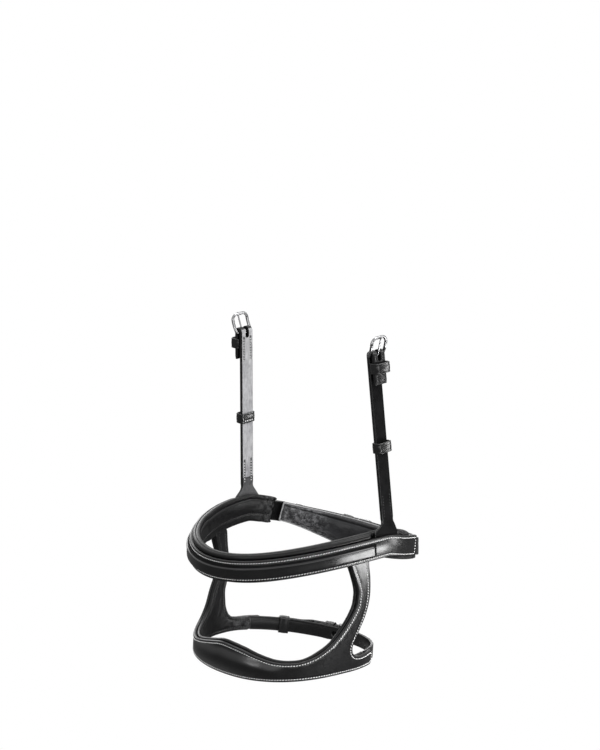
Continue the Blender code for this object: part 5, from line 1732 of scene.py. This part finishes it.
class NOSEBAND_OT_hangers(bpy.types.Operator):
    """Build the two hanger straps with their ears and keepers"""

    bl_idname = "noseband.hangers"
    bl_label = "Hangers"

    def execute(self, context):
        axes, reach = hanger_axes()
        turn_axes = hanger_line()[-1]
        ear, ear_kinds = ear_skin(axes)
        strap, strap_kinds = hanger_skin(axes, reach)
        # The last look is flesh with painted shade, for the sewn grooves and the foot
        strap_looks = ("dull_leather", "burnished_edge", "flesh_side", "sewn_flesh")
        half = HANGER_WIDTH / 2 + KEEPER_SIDE_PLAY
        face, folded_face = HANGER_THICKNESS / 2, BAR_RADIUS + BAR_PLAY + HANGER_THICKNESS
        stack = BILLET_THICKNESS + 2 * GAP
        fixed_at = -FIXED_KEEPER_START - KEEPER_LENGTH / 2
        fixed = keeper_skin(turn_axes, fixed_at, KEEPER_WALL / 2, folded_face + stack, half)
        sliding = keeper_skin(axes, reach - HANGER_KEEPER_BELOW_BAR, -face - GAP, face + stack, half)
        for side, name in SIDES:
            hanger = f"{name}_hanger"
            node = f"{name}_ear"
            build(f"{node}_leather", mirrored(ear, side), EAR_LOOKS, ROOT, node, kinds=ear_kinds)
            lines = (turn_axes.origin, turn_axes.along, turn_axes.out)
            holes = [turn_slot_cutter(Rigid(*(flipped(line, side) for line in lines)), 0.008)]
            skin, node = mirrored(strap, side), f"{hanger}_strap"
            build(f"{hanger}_leather", skin, strap_looks, hanger, node, kinds=strap_kinds, holes=holes)
            for part, body, keeper in (("fixed", hanger, fixed), ("sliding", f"{hanger}_keeper", sliding)):
                node = f"{hanger}_{part}_keeper"
                build(f"{node}_loop", mirrored(keeper, side), ["keeper_leather"], body, node)
            self.bend_fold(side, name, axes)
        return {"FINISHED"}

    def bend_fold(self, side, name, axes):
        """A short length of leather where the strap grows out of the ear."""
        along = np.linspace(-0.0050, 0.0042, 12)
        grown = ease(along, -0.0035, 0.0005)
        thickness = EAR_THICKNESS + 0.0001 + (HANGER_THICKNESS - EAR_THICKNESS) * grown
        width = EAR_NECK_WIDTH + 0.0001 + (HANGER_WIDTH - EAR_NECK_WIDTH) * grown
        line = np.stack([along, np.zeros(12)], axis=1)
        skin, kinds = strap_skin(axes.place, line, thickness, width, HANGER_ROWS)
        kinds = [min(kind, 2) for kind in kinds]
        fold = new_piece(f"{name}_fold_leather", mirrored(skin, side), EAR_LOOKS, kinds)
        low, high = (flipped(axes.place(spot, 0.0, 0.0), side) for spot in (-0.0022, 0.0022))
        tuple(low)
        tuple(high)
        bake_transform(fold)


class NOSEBAND_OT_buckles(bpy.types.Operator):
    """Build the frames and tongues of the four buckles"""

    bl_idname = "noseband.buckles"
    bl_label = "Buckles"

    def execute(self, context):
        hanger = hanger_line()[-1].tilted(HANGER_FRAME_TILT)
        for name, axes, width, side in (
            ("jaw", jaw_closure().buckle_axes, JAW_WIDTH, 1),
            ("chin", chin_closure().buckle_axes, CHIN_WIDTH, 1),
            ("near_hanger", hanger, HANGER_WIDTH, 1),
            ("off_hanger", hanger, HANGER_WIDTH, -1),
        ):
            for part, body, skin in (
                ("frame", f"{name}_buckle", frame_skin(axes, width)),
                ("tongue", f"{name}_tongue", tongue_skin(axes)),
            ):
                build(
                    f"{name}_steel_{part}", mirrored(skin, side), ["polished_steel"], body,
                    f"{name}_buckle_{part}", sharp=ROUND_SHARP,
                )
        return {"FINISHED"}


def band_row(distances, out, across):
    """Points of a stitch row on the nose band, and the direction out of the band there."""
    return NOSE.place(distances, out, across), NOSE.axes_at(distances)[2]


def strap_row(line, across, offset):
    """Points of a row on the outer face of a strap along the nose loop, and the direction out of the loop."""
    ahead = unit(np.gradient(line, axis=0))
    spots = line + np.stack([-ahead[:, 1], ahead[:, 0]], axis=1) * offset
    return NOSE.place(spots[:, 0], spots[:, 1], across), NOSE.axes_at(line[:, 0])[2]


def open_runs(keep):
    """Index runs of a closed line in which every point is kept."""
    first = np.argmin(keep)
    runs, run = [], []
    for index in (np.arange(len(keep)) + first) % len(keep):
        if keep[index]:
            run.append(index)
        else:
            runs.append(run)
            run = []
    return [run for run in (*runs, run) if len(run) > 3]


def sheet_row(outline, out, facing):
    """Points of a row on a sheet, out of the seam surface, and the direction it faces: 1 out or -1 in."""
    path = bend_on_skin(outline, out)
    return path, unit(bend_on_skin(outline, out + facing * 0.001) - path)


class NOSEBAND_OT_band_stitching(bpy.types.Operator):
    """Sew the nose band, the lower nosepiece, the jaw strap and the padding"""

    bl_idname = "noseband.band_stitching"
    bl_label = "Band stitching"

    def execute(self, context):
        settings = context.scene.noseband_stitches
        white = Thread(settings)
        near_end = NOSE.distance_at(BAND_LEATHER_END) - 0.0022
        distances = np.arange(0.001 - NOSE.distance_at(JAW_OVERLAP_START), near_end, 0.002)
        bottom, top = strap_levels(distances)
        for across in (top - settings.strap_row_inset, bottom + BOTTOM_ROW_INSET):
            white.row(*band_row(distances, BAND_OUTER, across))
        bottom, top = strap_levels(near_end)
        levels = np.linspace(bottom + 0.0030, top - 0.0036, 12)
        white.row(*band_row(np.full(12, near_end), BAND_OUTER, levels))

        outline = inset(lower_leather_outline(), settings.sheet_row_inset)
        path, facing = sheet_row(outline, leather_high(outline), 1)
        for run in open_runs(outline[:, 1] < ARM_TOP - ARM_TUCK - 0.0005):
            white.row(path[run], facing[run])

        jaw = jaw_closure()
        line = jaw.strap[: jaw.turn_start]
        sewn = line[line[:, 0] > NOSE.length - NOSE.distance_at(BAND_LEATHER_END) - 0.001][::-1]
        for across in (-JAW_WIDTH / 2 + CLOSURE_ROW_INSET, JAW_WIDTH / 2 - CLOSURE_ROW_INSET):
            white.row(*strap_row(sewn, across, CLOSURE_THICKNESS / 2))
        white.sew("band_stitches", "white_thread", ROOT)

        dark = Thread(settings)
        outline = inset(lower_lining_outline(), settings.sheet_row_inset + 0.001)
        path, facing = sheet_row(outline, np.full(len(outline), LINING_INNER), -1)
        for run in open_runs(outline[:, 1] < outline[:, 1].max() - 0.003):
            dark.row(path[run], facing[run], lift=-0.0002)
        pad_end = NOSE.distance_at(BAND_PADDING_END) - 0.003
        distances = np.arange(-pad_end, pad_end, 0.002)
        for across, depth in ((UPPER_CHANNEL, 0.0002), (LOWER_CHANNEL, -0.0002)):
            path, outward = band_row(distances, depth - BAND_PADDING_THICKNESS, across)
            dark.row(path, -outward)
        dark.sew("lining_stitches", "dark_thread", ROOT)
        return {"FINISHED"}


class NOSEBAND_OT_hanger_stitching(bpy.types.Operator):
    """Sew the turned ends and the feet of the hanger straps"""

    bl_idname = "noseband.hanger_stitching"
    bl_label = "Hanger stitching"

    def execute(self, context):
        settings = context.scene.noseband_stitches
        axes, reach = hanger_axes()
        face = HANGER_THICKNESS / 2
        folded = 2 * (BAR_RADIUS + BAR_PLAY) + 1.5 * HANGER_THICKNESS
        keeper = reach - FIXED_KEEPER_START - KEEPER_LENGTH
        for side, name in SIDES:
            hanger = f"{name}_hanger"
            white, dark = Thread(settings, size=1.25), Thread(settings)
            for across in HANGER_ROWS:
                for thread, low, high, out in (
                    (white, 0.0006, SEWN_LENGTH, -face),
                    (white, reach - SEWN_START - SEWN_LENGTH, reach - SEWN_START, -face),
                    (dark, 0.0006, SEWN_LENGTH, face),
                    (dark, reach - TURN_FOLD + 0.0012, keeper - 0.0006, folded),
                ):
                    self.sew_row(thread, axes, np.arange(low, high, 0.0015), out, across, side, -0.00034)
            white.sew(f"{hanger}_stitches", "white_thread", hanger)
            marks = Thread(settings)
            at, out = reach - HANGER_KEEPER_BELOW_BAR - 0.0022, -face - GAP - KEEPER_WALL - 0.0001
            self.sew_row(marks, axes, np.full(9, at), out, np.linspace(-0.0056, 0.0056, 9), side, 0.0)
            marks.sew(f"{name}_keeper_stitches", "white_thread", f"{hanger}_keeper")
            dark.sew(f"{hanger}_outer_stitches", "dark_thread", hanger)
        return {"FINISHED"}

    def sew_row(self, thread, axes, along, out, across, side, lift):
        """Sews a row along or across a face of the strap, out or in from its middle."""
        path = axes.place(along, out, across)
        facing = np.tile(axes.out * np.sign(out), (len(along), 1))
        thread.row(flipped(path, side), flipped(facing, side), lift)


def facing_turn(spot, aim):
    """Turn of a camera or a light at the spot that faces the aim."""
    return (Vector(aim) - Vector(spot)).to_track_quat("-Z", "Y").to_euler()


def studio_panel(name, spot, aim, width, height, brightness):
    """A soft square light facing the noseband. Brightness is its radiance."""
    light = bpy.data.lights.new(name, "AREA")
    light.shape = "RECTANGLE"
    light.size = width
    light.size_y = height
    light.energy = brightness * math.pi * width * height
    panel = bpy.data.objects.new(name, light)
    panel.location = spot
    panel.rotation_euler = facing_turn(spot, aim)
    panel.visible_camera = False
    bpy.context.scene.collection.objects.link(panel)


class NOSEBAND_OT_stage(bpy.types.Operator):
    """Set up the camera, the pale floor and the studio light"""

    bl_idname = "noseband.stage"
    bl_label = "Stage"

    def execute(self, context):
        settings = context.scene.noseband_stage
        scene = context.scene
        scene.view_settings.view_transform = "Standard"
        scene.view_settings.look = "None"

        data = bpy.data.cameras.new("camera")
        data.sensor_fit = "VERTICAL"
        data.sensor_height = 36.0
        data.lens = settings.focal_length
        data.clip_end = 50.0
        camera = bpy.data.objects.new("camera", data)
        camera.location = settings.camera
        camera.rotation_euler = facing_turn(settings.camera, settings.aim)
        scene.collection.objects.link(camera)
        scene.camera = camera

        self.lay_floor(scene, CAD_LOW[2] - settings.floor_drop)
        middle, nose = (0.0, 0.0, -0.15), (-0.03, -0.11, -0.27)
        for panel in (
            ("side_panel", (0.444, 0.133, -0.286), (0.149, -0.081, -0.20), 0.32, 0.062, settings.side_light),
            ("nose_panel_light", (0.035, -1.33, 0.17), nose, 0.24, 0.24, settings.nose_light),
            ("fill_panel", (1.9, -0.5, -0.05), middle, 1.1, 1.1, settings.fill_light),
            ("crown_panel", (-0.69, 0.40, 1.24), middle, 0.8, 0.8, settings.crown_light),
            ("top_panel", (0.8, 0.67, 1.15), middle, 0.9, 0.9, settings.top_light),
            ("front_panel", (1.72, -1.45, 0.36), middle, 3.2, 1.4, settings.front_light),
            ("back_panel", (-1.2, 1.1, -0.42), middle, 0.9, 0.45, settings.back_light),
            ("keeper_panel", (0.83, 0.945, -0.2), (0.09, 0.0, -0.08), 0.08, 0.5, settings.keeper_light),
            ("rear_panel", (-1.5, 0.62, 0.32), middle, 0.8, 0.7, settings.rear_light),
        ):
            studio_panel(*panel)
        self.light_room(scene, settings)
        return {"FINISHED"}

    def lay_floor(self, scene, level):
        """A round pale floor."""
        count, inner, outer = 96, 0.2, 0.6
        turn = np.linspace(0, 2 * math.pi, count, endpoint=False)
        circle = np.stack([np.cos(turn), np.sin(turn), np.zeros(count)], axis=1)
        points = np.concatenate([[[0.0, 0.0, 0.0]], inner * circle, outer * circle]) + [0.0, 0.0, level]
        faces = [(0, 1 + k, 1 + (k + 1) % count) for k in range(count)]
        rim = count + 1
        faces += [(1 + k, rim + k, rim + (k + 1) % count, 1 + (k + 1) % count) for k in range(count)]
        mesh = bpy.data.meshes.new("floor")
        mesh.from_pydata(points, [], faces)
        mesh.materials.append(finish("floor_paper")[0])
        floor = bpy.data.objects.new("floor", mesh)
        floor.visible_glossy = False
        scene.collection.objects.link(floor)

    def light_room(self, scene, settings):
        """A white backdrop to the camera, and to the noseband a room that is darker below than above."""
        world = bpy.data.worlds.new("room")
        world.use_nodes = True
        nodes = Nodes(world.node_tree)
        direction = nodes.node("TexCoord").outputs["Generated"]
        height = nodes.node("SeparateXYZ", {"Vector": direction}).outputs["Z"]
        inputs = {"Value": height, "From Min": -0.15, "From Max": 0.55}
        inputs.update({"To Min": settings.low_room, "To Max": settings.high_room})
        strength = nodes.node("MapRange", inputs, interpolation_type="SMOOTHSTEP")
        room = nodes.node("Background", {"Color": WHITE, "Strength": strength.outputs["Result"]})
        backdrop = nodes.node("Background", {"Color": WHITE, "Strength": settings.backdrop})
        seen = nodes.node("LightPath").outputs["Is Camera Ray"]
        sides = {"Fac": seen, 1: room.outputs["Background"], 2: backdrop.outputs["Background"]}
        nodes.node("OutputWorld", {"Surface": nodes.node("MixShader", sides).outputs["Shader"]})
        scene.world = world


OPERATORS = (
    NOSEBAND_OT_nose_padding,
    NOSEBAND_OT_nose_leather,
    NOSEBAND_OT_lower_nosepiece,
    NOSEBAND_OT_jaw_pad,
    NOSEBAND_OT_closures,
    NOSEBAND_OT_hangers,
    NOSEBAND_OT_buckles,
    NOSEBAND_OT_band_stitching,
    NOSEBAND_OT_hanger_stitching,
    NOSEBAND_OT_stage,
)
GROUPS = {
    "noseband_finishes": FinishSettings,
    "noseband_stitches": StitchSettings,
    "noseband_padding": PaddingSettings,
    "noseband_stage": StageSettings,
}


class NOSEBAND_PT_panel(bpy.types.Panel):
    """Sizes, colours and steps of the noseband"""

    bl_label = "Double noseband"
    bl_space_type = "VIEW_3D"
    bl_region_type = "UI"
    bl_category = "Noseband"

    def draw(self, context):
        for attribute, group in GROUPS.items():
            box = self.layout.box()
            box.label(text=group.__doc__)
            for name in group.__annotations__:
                box.prop(getattr(context.scene, attribute), name)
        for operator in OPERATORS:
            self.layout.operator(operator.bl_idname)


def register():
    for group in (*GROUPS.values(), *OPERATORS, NOSEBAND_PT_panel):
        bpy.utils.register_class(group)
    for attribute, group in GROUPS.items():
        setattr(bpy.types.Scene, attribute, bpy.props.PointerProperty(type=group))


def unregister():
    for attribute in GROUPS:
        delattr(bpy.types.Scene, attribute)
    for group in (NOSEBAND_PT_panel, *reversed(OPERATORS), *GROUPS.values()):
        bpy.utils.unregister_class(group)


def main():
    register()
    for operator in OPERATORS:
        group, name = operator.bl_idname.split(".")
        getattr(getattr(bpy.ops, group), name)()


if __name__ == "__main__":
    main()
